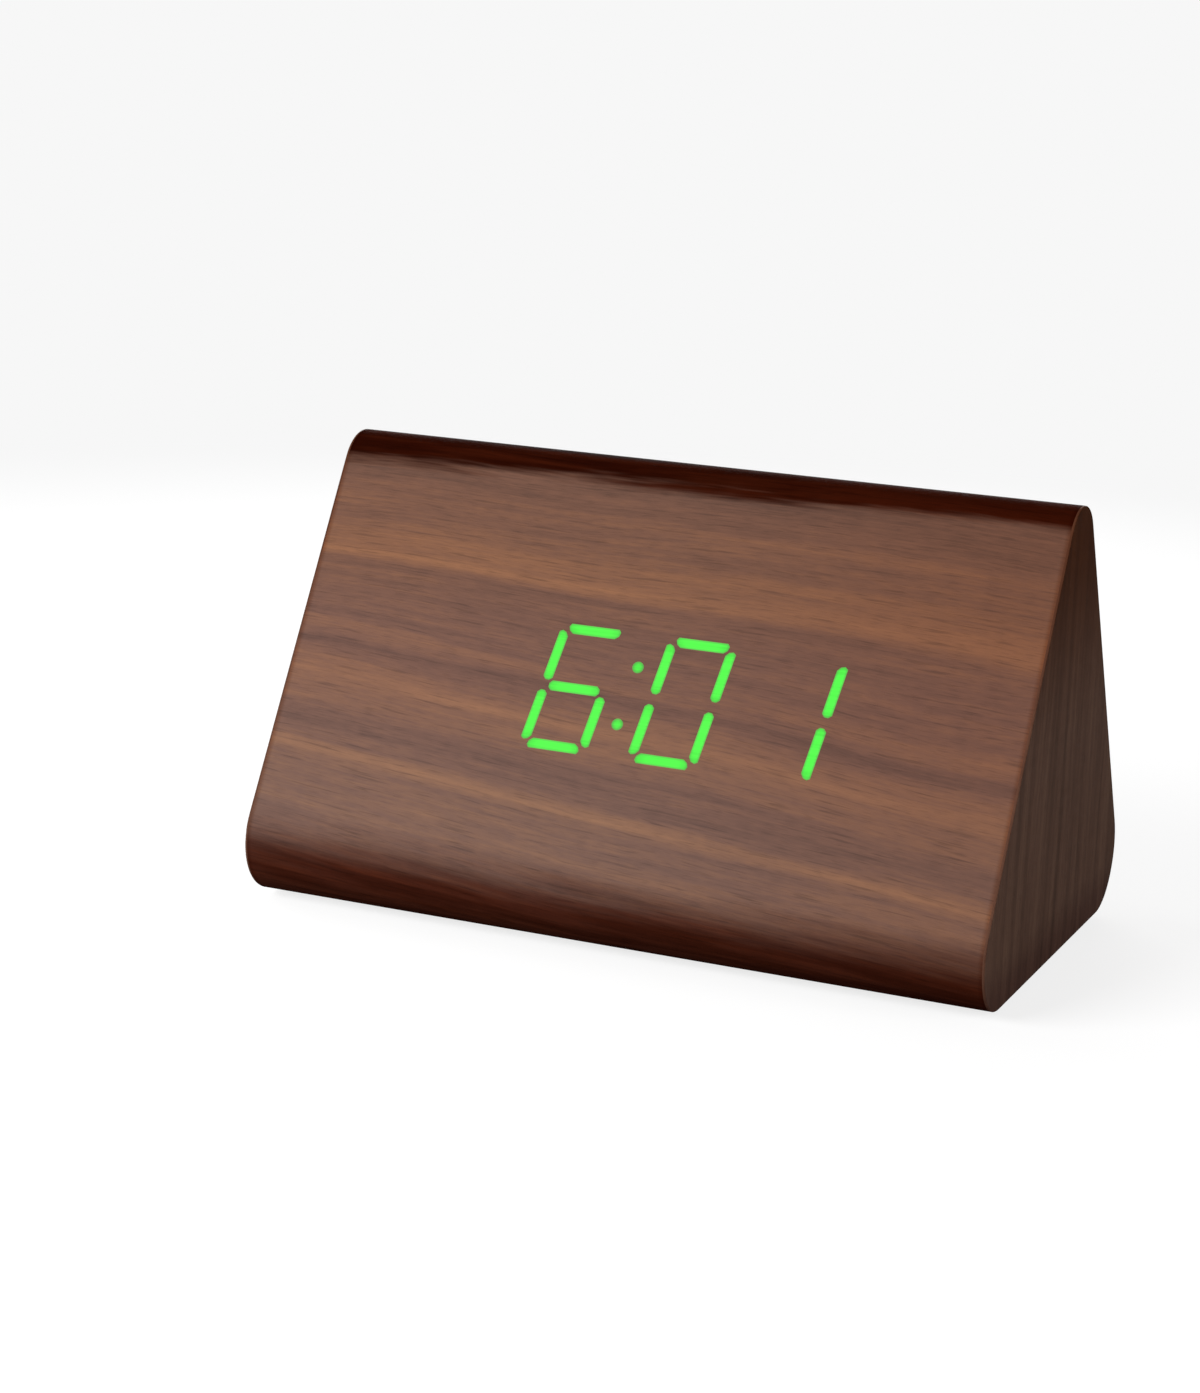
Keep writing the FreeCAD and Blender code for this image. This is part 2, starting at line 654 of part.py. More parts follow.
def build_display():
    front = REFLECTOR_FACE
    back = front - DIFFUSER_DEPTH
    export("display_reflector", reflector(), DISPLAY)
    lit = bars(BOND_LINE, back, front, True) + dots(BOND_LINE, back, front)
    export("lit_segment_diffusers", lit, DISPLAY)
    export("unlit_segment_diffusers", bars(BOND_LINE, back, front, False), DISPLAY)
    export("segment_leds", leds(), DISPLAY)
    export("display_board", display_board(), DISPLAY)
    export("board_spacers", board_spacers(), DISPLAY)
    export("board_screws", board_screws(), DISPLAY)


# ---------------------------------------------------------------- parts on the display board
# Chips in small-outline cases: middle x and y, length, leads on each side
CONTROLLER = (-22.0, 4.0, 17.9, 14)
DRIVER = (14.0, 4.0, 12.8, 10)
CHIP_WIDTH = 7.5
CHIP_HEIGHT = 2.3
CHIP_STAND_OFF = 0.1
LEAD_PITCH = 1.27
LEAD_WIDTH = 0.45
LEAD_REACH = 1.4
LEAD_THICKNESS = 0.25
# Upright electrolytic cans: x, y, diameter, height
CAPACITORS = ((33.0, 10.0, 6.3, 7.0), (33.0, 1.5, 5.0, 6.0), (41.0, 6.0, 5.0, 6.0))
CRYSTAL = (-42.0, -34.5, 9.0)
CRYSTAL_DIAMETER = 3.0
RESISTOR_ROWS = (-6.5, -10.5)
RESISTORS_IN_ROW = 8
RESISTOR_PITCH = 4.0
RESISTOR_LENGTH = 2.0
RESISTOR_WIDTH = 1.25
RESISTOR_HEIGHT = 0.6


def chip_body(chip):
    x, y, length, _ = chip
    low = DISPLAY_BOARD_BACK - CHIP_HEIGHT
    body = rounded_block(x, y, length, CHIP_WIDTH, 0.3, low, DISPLAY_BOARD_BACK - CHIP_STAND_OFF)
    dot = rod(x - length * 0.42, y - CHIP_WIDTH * 0.3, 1.0, low - OVERCUT, low + 0.15)
    return body.cut(dot)


def chip_leads(chip):
    """Gull-wing feet along both long sides, soldered to the back of the board."""
    x, y, _, count = chip
    low = DISPLAY_BOARD_BACK - LEAD_THICKNESS
    feet = []
    for i in range(count):
        lead_x = x + (i - (count - 1) / 2) * LEAD_PITCH
        for side in (-1, 1):
            lead_y = y + side * (CHIP_WIDTH + LEAD_REACH) / 2
            feet.append(block(lead_x, lead_y, LEAD_WIDTH, LEAD_REACH, low, DISPLAY_BOARD_BACK))
    return feet


def crystal():
    """Watch crystal: a small can that lies on the board."""
    x0, x1, y = CRYSTAL
    can = rod_along_x(x0, x1, y, DISPLAY_BOARD_BACK - CRYSTAL_DIAMETER / 2 - CONTACT_GAP, CRYSTAL_DIAMETER)
    return fillet_edges(can, 0.4, lambda e: e.BoundBox.XLength < TINY)


def capacitors():
    cans = []
    for x, y, diameter, height in CAPACITORS:
        top = DISPLAY_BOARD_BACK - height
        can = rod(x, y, diameter, top, DISPLAY_BOARD_BACK)
        cans.append(fillet_edges(can, 0.5, lambda e, top=top: e.BoundBox.ZMax < top + TINY))
    return cans


def resistors():
    """Two rows of chip resistors that set the current of the segments."""
    low = DISPLAY_BOARD_BACK - RESISTOR_HEIGHT
    chips = []
    for y in RESISTOR_ROWS:
        for i in range(RESISTORS_IN_ROW):
            x = (i - (RESISTORS_IN_ROW - 1) / 2) * RESISTOR_PITCH + DRIVER[0]
            chips.append(block(x, y, RESISTOR_LENGTH, RESISTOR_WIDTH, low, DISPLAY_BOARD_BACK))
    return chips


def build_board_parts():
    export("controller_chip", chip_body(CONTROLLER), DISPLAY)
    export("driver_chip", chip_body(DRIVER), DISPLAY)
    export("chip_leads", chip_leads(CONTROLLER) + chip_leads(DRIVER), DISPLAY)
    export("clock_crystal", crystal(), DISPLAY)
    export("filter_capacitors", capacitors(), DISPLAY)
    export("chip_resistors", resistors(), DISPLAY)


# ---------------------------------------------------------------- rear panel and battery bay
POSTS = corner_places(CONTROL_BOARD_WIDTH, CONTROL_BOARD_HEIGHT, POST_INSET, POST_INSET, CONTROL_X)
HOOK_X = [BAY_X - DOOR_HOOK_SPREAD, BAY_X + DOOR_HOOK_SPREAD]


def hook_notches(low, high):
    """Room in the lower wall of the bay for the hooks of the door."""
    width = DOOR_HOOK_WIDTH + 2 * DOOR_GAP
    depth = 2 * (BAY_WALL + BAY_COLLAR)
    return [block(x, -DOORWAY_HEIGHT / 2, width, depth, low, high) for x in HOOK_X]


def bay_tub():
    """Open box behind the door. Its wall tops are the ledge that the door closes on."""
    tub = block(BAY_X, 0, DOORWAY_LENGTH, DOORWAY_HEIGHT, BAY_BOTTOM, RIM_TOP)
    return tub.cut(block(BAY_X, 0, BAY_LENGTH, BAY_HEIGHT, BAY_FLOOR, OVERCUT))


def bay_collar():
    """Wall outside the door that hangs the bay from the back of the panel."""
    low = RIM_TOP - BAY_COLLAR_DEPTH
    collar = block(BAY_X, 0, COLLAR_LENGTH, COLLAR_HEIGHT, low, PANEL_BACK)
    return collar.cut(block(BAY_X, 0, DOORWAY_LENGTH, DOORWAY_HEIGHT, low - OVERCUT, 0))


def cell_ribs():
    """Low ribs on the floor of the bay that keep the cells apart."""
    ribs = []
    for i in range(CELL_COUNT - 1):
        y = (CELL_Y[i] + CELL_Y[i + 1]) / 2
        ribs.append(block(BAY_X, y, BAY_LENGTH / 2, RIB_WIDTH, BAY_BOTTOM, BAY_FLOOR + RIB_HEIGHT))
    return ribs


def tab_slots():
    """Slots in the floor of the bay for the solder tabs of the two end contacts."""
    around = 4 * CONTACT_GAP
    slots = []
    for y in (CELL_Y[0], CELL_Y[-1]):
        x = BAY_RIGHT - PLATE / 2
        slots.append(block(x, y, PLATE + around, TAB_WIDTH + around, BAY_BOTTOM - OVERCUT, BAY_FLOOR + OVERCUT))
    return slots


def control_openings():
    """Button holes with their surrounds, the socket window and the sounder slots."""
    low = PANEL_BACK - OVERCUT
    hole = BUTTON_DIAMETER + 2 * BUTTON_GAP
    cuts = []
    for x in BUTTON_X:
        cuts.append(rod(x, BUTTON_Y, hole, low, OVERCUT))
        cuts.append(rod(x, BUTTON_Y, hole + 2 * BUTTON_SURROUND_WIDTH, -BUTTON_SURROUND_DEPTH, OVERCUT))
    width = SOCKET_WIDTH + 2 * SOCKET_WINDOW_GAP
    height = SOCKET_HEIGHT + 2 * SOCKET_WINDOW_GAP
    border = 2 * SOCKET_RECESS_BORDER
    cuts.append(rounded_block(*SOCKET, width, height, SOCKET_CORNER_RADIUS, low, OVERCUT))
    cuts.append(rounded_block(*SOCKET, width + border, height + border, 2.0, -SOCKET_RECESS_DEPTH, OVERCUT))
    for i in range(SOUND_SLOTS):
        y = SOUNDER[1] + (i - (SOUND_SLOTS - 1) / 2) * SOUND_SLOT_PITCH
        cuts.append(stadium(SOUNDER[0], y, SOUND_SLOT_LENGTH, SOUND_SLOT_WIDTH, 0, low, OVERCUT))
    return cuts


def finger_scoop():
    """Shallow half-round scoop above the door, so that a fingertip reaches the latch."""
    top = DOORWAY_HEIGHT / 2
    ball = Part.makeSphere(SCOOP_RADIUS, vec(BAY_X, top - OVERCUT, SCOOP_RADIUS - SCOOP_DEPTH))
    reach = 2 * SCOOP_RADIUS
    return ball.common(block(BAY_X, top - OVERCUT + reach / 2, reach, reach, PANEL_BACK, reach))


def panel_posts():
    posts = []
    bore = POST_SCREW_DIAMETER + 2 * RUNNING_GAP
    for x, y in POSTS:
        post = rod(x, y, POST_DIAMETER, CONTROL_FRONT, PANEL_BACK)
        top = CONTROL_FRONT + POST_SCREW_BITE + RUNNING_GAP
        posts.append(post.cut(rod(x, y, bore, CONTROL_FRONT - OVERCUT, top)))
    return posts


def rear_panel():
    """One moulding: flush cover plate, battery bay, board posts and all the openings."""
    plate = panel_outline(0, PANEL_BACK, 0)
    plate = fillet_edges(plate, PANEL_EDGE_ROUND, lambda e: e.BoundBox.ZMin > -TINY)
    low = PANEL_BACK - OVERCUT
    plate = plate.cut(block(BAY_X, 0, DOORWAY_LENGTH, DOORWAY_HEIGHT, low, OVERCUT))
    plate = plate.cut(control_openings() + [finger_scoop()])
    for x, y in PANEL_SCREWS:
        plate = plate.cut(rod(x, y, PANEL_SCREW_HOLE, low, OVERCUT))
        plate = plate.cut(rod(x, y, PANEL_SCREW_HEAD + 4 * RUNNING_GAP, PANEL_SEAT, OVERCUT))
    moulding = plate.fuse([bay_tub(), bay_collar()] + cell_ribs() + panel_posts())
    notches = hook_notches(-HOOK_SWEEP - DOOR_GAP, PANEL_BACK)
    return moulding.cut(notches + tab_slots()).removeSplitter()


def panel_screws():
    length = PANEL_SCREW_SEAT + PANEL_SCREW_BITE
    return [
        screw(x, y, PANEL_SCREW_DIAMETER, PANEL_SCREW_HEAD, length, PANEL_SEAT, -1)
        for x, y in PANEL_SCREWS
    ]


# ---------------------------------------------------------------- battery door
def door_hooks():
    """Two hooks that reach under the edge of the panel and carry the lower side of the door."""
    edge = -DOOR_HEIGHT / 2
    tip = edge - DOOR_GAP / 2 - DOOR_HOOK_LENGTH - DOOR_GAP
    inner = edge + DOOR_HOOK_ROOT
    hooks = []
    for x in HOOK_X:
        tongue = block(x, (tip + inner) / 2, DOOR_HOOK_WIDTH, inner - tip, HOOK_BOTTOM, RIM_TOP)
        root = block(x, (edge + inner) / 2, DOOR_HOOK_WIDTH, DOOR_HOOK_ROOT, HOOK_BOTTOM, PANEL_BACK)
        hooks += [tongue, root]
    return hooks


def battery_door():
    """Flush cover with a spring tongue at its upper edge and grip ridges on the tongue."""
    plate = rounded_block(BAY_X, 0, DOOR_LENGTH, DOOR_HEIGHT, DOOR_CORNER_RADIUS, PANEL_BACK, 0)
    top = DOOR_HEIGHT / 2
    slots = []
    for side in (-1, 1):
        x = BAY_X + side * (LATCH_WIDTH + LATCH_SLOT) / 2
        length = LATCH_LENGTH + 2 * OVERCUT
        middle = top - LATCH_LENGTH / 2 + OVERCUT
        slots.append(stadium(x, middle, length, LATCH_SLOT, 90, PANEL_BACK - OVERCUT, OVERCUT))
    ridges = []
    for i in range(GRIP_RIDGES):
        y = top - (i + 1) * GRIP_RIDGE_PITCH
        length = LATCH_WIDTH - 2 * GRIP_RIDGE_PITCH
        ridges.append(stadium(BAY_X, y, length, GRIP_RIDGE_WIDTH, 0, -DOOR_GAP, GRIP_RIDGE_HEIGHT))
    return plate.cut(slots).fuse(ridges + door_hooks()).removeSplitter()


# ---------------------------------------------------------------- cells and contacts
def cell_ends(i):
    """Positive tip and negative tail of cell i, and the way its tip points along x."""
    way = 1 if i % 2 == 0 else -1
    wall = BAY_RIGHT if way > 0 else BAY_LEFT
    tip = wall - way * (PLATE + DIMPLE_HEIGHT + CONTACT_GAP)
    return tip, tip - way * CELL_LENGTH, way


def cell_cans():
    """Steel cans with a raised nub at the positive end."""
    diameter = CELL_DIAMETER - 2 * CELL_SLEEVE - 2 * CONTACT_GAP
    cans = []
    for i, y in enumerate(CELL_Y):
        tip, tail, way = cell_ends(i)
        shoulder = tip - way * CELL_NUB_LENGTH
        can = rod_along_x(tail, shoulder, y, CELL_AXIS, diameter)
        can = fillet_edges(can, 0.5, lambda e: e.BoundBox.XLength < TINY)
        nub = rod_along_x(shoulder - way * CELL_NUB_LENGTH, tip, y, CELL_AXIS, CELL_NUB_DIAMETER)
        cans.append(can.fuse(nub).removeSplitter())
    return cans


def cell_sleeves():
    """Plain shrink sleeves round the cans."""
    border = 0.8
    sleeves = []
    for i, y in enumerate(CELL_Y):
        tip, tail, way = cell_ends(i)
        start = tip - way * (CELL_NUB_LENGTH + border)
        sleeve = rod_along_x(start, tail + way * border, y, CELL_AXIS, CELL_DIAMETER)
        bore = rod_along_x(BAY_LEFT, BAY_RIGHT, y, CELL_AXIS, CELL_DIAMETER - 2 * CELL_SLEEVE)
        sleeves.append(sleeve.cut(bore))
    return sleeves


def contact_plate(wall, inward, y, width):
    low = CELL_AXIS - PLATE_WIDTH / 2
    x = min(wall, wall + inward * PLATE)
    return Part.makeBox(PLATE, width, PLATE_WIDTH, vec(x, y - width / 2, low))


def dimple(wall, inward, y):
    """Raised button of a plate that touches the positive nub of a cell."""
    tip = wall + inward * (PLATE + DIMPLE_HEIGHT)
    peg = rod_along_x(wall + inward * PLATE / 2, tip, y, CELL_AXIS, DIMPLE_DIAMETER)
    return fillet_edges(peg, 0.3, lambda e: abs(e.BoundBox.Center.x - tip) < TINY)


def solder_tab(y):
    """Foot of an end contact that passes through the floor of the bay to take a lead."""
    low = BAY_BOTTOM - TAB_BEYOND_FLOOR
    height = CELL_AXIS - low
    return Part.makeBox(PLATE, TAB_WIDTH, height, vec(BAY_RIGHT - PLATE, y - TAB_WIDTH / 2, low))


def positive_contact():
    y = CELL_Y[0]
    plate = contact_plate(BAY_RIGHT, -1, y, PLATE_WIDTH)
    return plate.fuse([dimple(BAY_RIGHT, -1, y), solder_tab(y)]).removeSplitter()


def negative_contact():
    y = CELL_Y[-1]
    return contact_plate(BAY_RIGHT, -1, y, PLATE_WIDTH).fuse(solder_tab(y)).removeSplitter()


def bridge_contacts():
    """Double plates that join the tail of one cell to the tip of the next."""
    plates = []
    for i in range(CELL_COUNT - 1):
        wall, inward = (BAY_LEFT, 1) if i % 2 == 0 else (BAY_RIGHT, -1)
        middle = (CELL_Y[i] + CELL_Y[i + 1]) / 2
        plate = contact_plate(wall, inward, middle, PLATE_WIDTH + CELL_PITCH)
        plates.append(plate.fuse(dimple(wall, inward, CELL_Y[i + 1])).removeSplitter())
    return plates


def contact_spring(wall, inward, y):
    """Conical coil between a plate and the flat end of a cell, wide at the plate."""
    rise = SPRING_ROOM - SPRING_WIRE - 2 * CONTACT_GAP
    narrowing = math.degrees(math.atan2(SPRING_NARROW_RADIUS - SPRING_WIDE_RADIUS, rise))
    path = Part.makeLongHelix(rise / SPRING_TURNS, rise, SPRING_WIDE_RADIUS, narrowing)
    start = path.Edges[0]
    heading = start.tangentAt(start.FirstParameter)
    wire_end = Part.Wire([Part.makeCircle(SPRING_WIRE / 2, start.valueAt(start.FirstParameter), heading)])
    coil = Part.Wire(path.Edges).makePipeShell([wire_end], True, True)
    coil.rotate(NOWHERE, Y, 90 * inward)
    seat = wall + inward * (PLATE + CONTACT_GAP + SPRING_WIRE / 2)
    coil.translate(vec(seat, y, CELL_AXIS))
    return coil


def contact_springs():
    springs = []
    for i, y in enumerate(CELL_Y):
        way = cell_ends(i)[2]
        springs.append(contact_spring(BAY_LEFT if way > 0 else BAY_RIGHT, way, y))
    return springs


def build_rear():
    export("rear_panel", rear_panel(), PANEL)
    export("panel_screws", panel_screws(), PANEL)
    export("battery_door", battery_door(), PANEL)
    export("cell_cans", cell_cans(), PANEL)
    export("cell_sleeves", cell_sleeves(), PANEL)
    export("positive_contact", positive_contact(), PANEL)
    export("negative_contact", negative_contact(), PANEL)
    export("bridge_contacts", bridge_contacts(), PANEL)
    export("contact_springs", contact_springs(), PANEL)


# ---------------------------------------------------------------- control board
def control_board():
    low = CONTROL_BACK
    high = CONTROL_FRONT
    board = rounded_block(CONTROL_X, 0, CONTROL_BOARD_WIDTH, CONTROL_BOARD_HEIGHT, 1.5, low, high)
    hole = POST_SCREW_DIAMETER + 2 * RUNNING_GAP
    return board.cut([rod(x, y, hole, low - OVERCUT, high + OVERCUT) for x, y in POSTS])


def control_board_screws():
    length = BOARD_THICKNESS + POST_SCREW_BITE
    head = POST_SCREW_DIAMETER * 1.9
    return [screw(x, y, POST_SCREW_DIAMETER, head, length, CONTROL_BACK, 1) for x, y in POSTS]


def button_mark(name, x):
    """Engraved sign: a ring to set, a plus to count up, a minus to count down."""
    low = BUTTON_PROUD - MARK_DEPTH
    high = BUTTON_PROUD + OVERCUT
    if name == "set":
        disc = rod(x, BUTTON_Y, MARK_LENGTH, low, high)
        return disc.cut(rod(x, BUTTON_Y, MARK_LENGTH - 2 * MARK_WIDTH, low - OVERCUT, high))
    bar = block(x, BUTTON_Y, MARK_LENGTH, MARK_WIDTH, low, high)
    if name == "up":
        bar = bar.fuse(block(x, BUTTON_Y, MARK_WIDTH, MARK_LENGTH, low, high))
    return bar


def button(name, x):
    """Cap that passes through the panel. Its flange keeps it from falling out."""
    cap = rod(x, BUTTON_Y, BUTTON_DIAMETER, FLANGE_BOTTOM, BUTTON_PROUD)
    cap = fillet_edges(cap, BUTTON_EDGE_ROUND, lambda e: e.BoundBox.ZMin > BUTTON_PROUD - TINY)
    flange = rod(x, BUTTON_Y, BUTTON_DIAMETER + 2 * BUTTON_FLANGE_OVERLAP, FLANGE_BOTTOM, FLANGE_TOP)
    return cap.fuse(flange).removeSplitter().cut(button_mark(name, x))


def switch_body(x):
    """Square body of a tactile switch, with the bore that its plunger sinks into."""
    body = rounded_block(x, BUTTON_Y, SWITCH_SIDE, SWITCH_SIDE, 0.4, CONTROL_FRONT, SWITCH_TOP)
    floor = SWITCH_TOP - PLUNGER_IN_SWITCH - BUTTON_TRAVEL - RUNNING_GAP
    return body.cut(rod(x, BUTTON_Y, PLUNGER_DIAMETER + 2 * RUNNING_GAP, floor, SWITCH_TOP + OVERCUT))


def sounder():
    """Piezo sounder can with the hole that its tone leaves by."""
    top = PANEL_BACK - SOUNDER_BELOW_PANEL
    can = rod(*SOUNDER, SOUNDER_DIAMETER, CONTROL_FRONT, top)
    can = fillet_edges(can, 0.4, lambda e: e.BoundBox.ZMin > top - TINY)
    return can.cut(rod(*SOUNDER, 2.0, top - 1.5, top + OVERCUT))


def socket_shell():
    top = -SOCKET_BELOW_FACE
    outer = rounded_block(*SOCKET, SOCKET_WIDTH, SOCKET_HEIGHT, SOCKET_CORNER_RADIUS, CONTROL_FRONT, top)
    width = SOCKET_WIDTH - 2 * SOCKET_SHELL
    height = SOCKET_HEIGHT - 2 * SOCKET_SHELL
    radius = SOCKET_CORNER_RADIUS - SOCKET_SHELL
    return outer.cut(rounded_block(*SOCKET, width, height, radius, CONTROL_FRONT - OVERCUT, OVERCUT))


def socket_tongue():
    """Insulator that closes the back of the socket and carries its contacts."""
    width = SOCKET_WIDTH - 2 * SOCKET_SHELL - 2 * CONTACT_GAP
    height = SOCKET_HEIGHT - 2 * SOCKET_SHELL - 2 * CONTACT_GAP
    radius = SOCKET_CORNER_RADIUS - SOCKET_SHELL - CONTACT_GAP
    top = CONTROL_FRONT + SOCKET_BASE_HEIGHT
    base = rounded_block(*SOCKET, width, height, radius, CONTROL_FRONT, top)
    tip = -SOCKET_BELOW_FACE - SOCKET_SHELL
    tongue = block(*SOCKET, SOCKET_TONGUE_WIDTH, SOCKET_TONGUE_THICKNESS, CONTROL_FRONT, tip)
    return base.fuse(tongue).removeSplitter()


def build_controls():
    export("control_board", control_board(), PANEL)
    export("control_board_screws", control_board_screws(), PANEL)
    export("switch_bodies", [switch_body(x) for x in BUTTON_X], PANEL)
    for name, x in zip(BUTTON_NAMES, BUTTON_X):
        plunger = rod(x, BUTTON_Y, PLUNGER_DIAMETER, SWITCH_TOP - PLUNGER_IN_SWITCH, FLANGE_BOTTOM)
        export(name + "_button", button(name, x), PANEL)
        export(name + "_switch_plunger", plunger, PANEL)
    export("sounder", sounder(), PANEL)
    export("power_socket_shell", socket_shell(), PANEL)
    export("power_socket_tongue", socket_tongue(), PANEL)


# ---------------------------------------------------------------- wiring
def battery_lead(y):
    """Lead from a solder tab, under the floor of the bay, to the back of the control board."""
    low = BAY_BOTTOM - TAB_BEYOND_FLOOR / 2
    landing = CONTROL_X - CONTROL_BOARD_WIDTH / 2 + LEAD_TO_BOARD_EDGE
    points = [vec(BAY_RIGHT, y, low), vec(landing, y, low), vec(landing, y, CONTROL_BACK)]
    route = bend_route(points, LEAD_BEND)
    end = Part.Wire([Part.makeCircle(LEAD_DIAMETER / 2, points[0], X)])
    return route.makePipeShell([end], True, True)


def header(x, y, back):
    return rounded_block(x, y, HEADER_WIDTH, HEADER_HEIGHT, 0.4, back - HEADER_DEPTH, back)


def ribbon_cable():
    """Flat cable that leaves both headers squarely and bends once between them."""
    rear_end = PANEL.multVec(vec(CONTROL_X, -RIBBON_BELOW_MIDDLE, CONTROL_BACK - HEADER_DEPTH))
    front_x = rear_end.x - DISPLAY_X
    front_end = DISPLAY.multVec(vec(front_x, -RIBBON_BELOW_MIDDLE, DISPLAY_BOARD_BACK - HEADER_DEPTH))
    # Both runs fall at the same angle, so they meet nearer to the lower end
    across = rear_end.y - front_end.y
    rise = rear_end.z - front_end.z
    front_run = (across / SLOPE_SIN - rise / SLOPE_COS) / 2
    corner = front_end + vec(0, SLOPE_SIN, -SLOPE_COS) * front_run
    route = bend_route([front_end, corner, rear_end], RIBBON_BEND)
    section = Part.makePlane(RIBBON_WIDTH, RIBBON_THICKNESS)
    section.translate(vec(-RIBBON_WIDTH / 2, -RIBBON_THICKNESS / 2, 0))
    section.Placement = FreeCAD.Placement(front_end, DISPLAY.Rotation).multiply(section.Placement)
    return route.makePipeShell([section.OuterWire], True, True)


def build_wiring():
    rear_x = PANEL.multVec(vec(CONTROL_X, 0, 0)).x
    display_header = header(rear_x - DISPLAY_X, -RIBBON_BELOW_MIDDLE, DISPLAY_BOARD_BACK)
    export("display_cable_header", display_header, DISPLAY)
    export("control_cable_header", header(CONTROL_X, -RIBBON_BELOW_MIDDLE, CONTROL_BACK), PANEL)
    export("ribbon_cable", ribbon_cable())
    export("battery_lead_red", battery_lead(CELL_Y[0]), PANEL)
    export("battery_lead_black", battery_lead(CELL_Y[-1]), PANEL)


# ---------------------------------------------------------------- build
os.makedirs("parts", exist_ok=True)
build_case()
build_display()
build_board_parts()
build_rear()
build_controls()
build_wiring()
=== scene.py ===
"""A desk alarm clock shaped as a three-sided prism: walnut veneer over fibreboard, green digits
that shine through the front slope, and a black panel let into the rear slope.

The script follows the clock as it is put together. Its frame is the part's, in metres, and shapes
and grain are worked out in millimetres."""

import math

import bpy
from mathutils import Matrix, Vector


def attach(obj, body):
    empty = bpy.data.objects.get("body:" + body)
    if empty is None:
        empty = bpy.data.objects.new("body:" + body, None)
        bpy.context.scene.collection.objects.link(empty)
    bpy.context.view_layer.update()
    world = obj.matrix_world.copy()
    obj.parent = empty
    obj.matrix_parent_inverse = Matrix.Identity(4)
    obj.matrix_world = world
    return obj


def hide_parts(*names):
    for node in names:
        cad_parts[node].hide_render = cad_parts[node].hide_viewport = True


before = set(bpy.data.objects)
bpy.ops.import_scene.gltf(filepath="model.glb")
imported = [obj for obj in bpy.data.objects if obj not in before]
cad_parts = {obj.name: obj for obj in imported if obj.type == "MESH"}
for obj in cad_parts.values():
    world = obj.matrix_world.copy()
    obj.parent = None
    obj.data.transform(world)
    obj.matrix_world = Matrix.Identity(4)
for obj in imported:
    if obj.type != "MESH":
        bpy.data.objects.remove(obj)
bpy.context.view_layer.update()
scene = bpy.context.scene


# ---------------------------------------------------------------- table top, light and camera
# The clock stands on a plain pale table top that runs out of sight. A wide soft light stands low in
# front and to the left, so that the ridge and the right end stay dark; weak ones fill in elsewhere.
def add_node(tree, kind, inputs=None, **settings):
    """A node of this kind, with its settings made and its inputs set or linked."""
    node = tree.nodes.new(kind)
    for key, value in settings.items():
        setattr(node, key, value)
    for key, value in (inputs or {}).items():
        if isinstance(value, bpy.types.NodeSocket):
            tree.links.new(value, node.inputs[key])
        else:
            node.inputs[key].default_value = value
    return node


def made(tree, kind, inputs=None, **settings):
    """The first output of a new node."""
    return add_node(tree, kind, inputs, **settings).outputs[0]


def maths(tree, operation, *values):
    return made(tree, "ShaderNodeMath", dict(enumerate(values)), operation=operation)


def minus(tree, first, second):
    return maths(tree, "SUBTRACT", first, second)


def scaled_plus(tree, value, factor, rest):
    return maths(tree, "MULTIPLY_ADD", value, factor, rest)


def between(tree, value, low, high, to_low=0.0, to_high=1.0):
    """A smooth change from to_low to to_high while the value goes from low to high."""
    wanted = {"Value": value, "From Min": low, "From Max": high, "To Min": to_low, "To Max": to_high}
    return made(tree, "ShaderNodeMapRange", wanted, interpolation_type="SMOOTHSTEP")


def object_place(tree):
    return add_node(tree, "ShaderNodeTexCoord").outputs["Object"]


def brightness(tree, seen, mirrored, lighting):
    """How bright a surrounding is where it is looked at, where it is mirrored, and as a light."""
    path = add_node(tree, "ShaderNodeLightPath")
    direct = maths(tree, "MAXIMUM", path.outputs["Is Camera Ray"], path.outputs["Is Transmission Ray"])
    other = scaled_plus(tree, path.outputs["Is Glossy Ray"], mirrored - lighting, lighting)
    return scaled_plus(tree, direct, minus(tree, seen, other), other)


def bare_tree(owner):
    """The emptied node tree of a world or a material."""
    owner.use_nodes = True
    owner.node_tree.nodes.clear()
    return owner.node_tree


PALE = 0.93
MIRRORED_ROOM = 0.30
ROOM_LIGHT = 0.14
TABLE_GREY = (0.30, 0.30, 0.30, 1)
TABLE_GLOW = 0.78
TABLE_RADIUS = 4
TABLE_SIDES = 64
FADE_START, FADE_END = 0.25, 0.6

scene.world = bpy.data.worlds.new("room")
tree = bare_tree(scene.world)
strength = brightness(tree, PALE, MIRRORED_ROOM, ROOM_LIGHT)
room = made(tree, "ShaderNodeBackground", {"Color": (1, 1, 1, 1), "Strength": strength})
add_node(tree, "ShaderNodeOutputWorld", {"Surface": room})

table_finish = bpy.data.materials.new("pale_table_top")
tree = bare_tree(table_finish)
lit = made(tree, "ShaderNodeBsdfDiffuse", {"Color": TABLE_GREY})
glow = made(tree, "ShaderNodeEmission", {"Strength": brightness(tree, TABLE_GLOW, 0.0, 0.0)})
near = made(tree, "ShaderNodeAddShader", {0: lit, 1: glow})
far = made(tree, "ShaderNodeEmission", {"Strength": brightness(tree, PALE, MIRRORED_ROOM, 0.0)})
reach = add_node(tree, "ShaderNodeVectorMath", {0: object_place(tree)}, operation="LENGTH").outputs["Value"]
fade = between(tree, reach, FADE_START, FADE_END)
mixed = made(tree, "ShaderNodeMixShader", {0: fade, 1: near, 2: far})
add_node(tree, "ShaderNodeOutputMaterial", {"Surface": mixed})

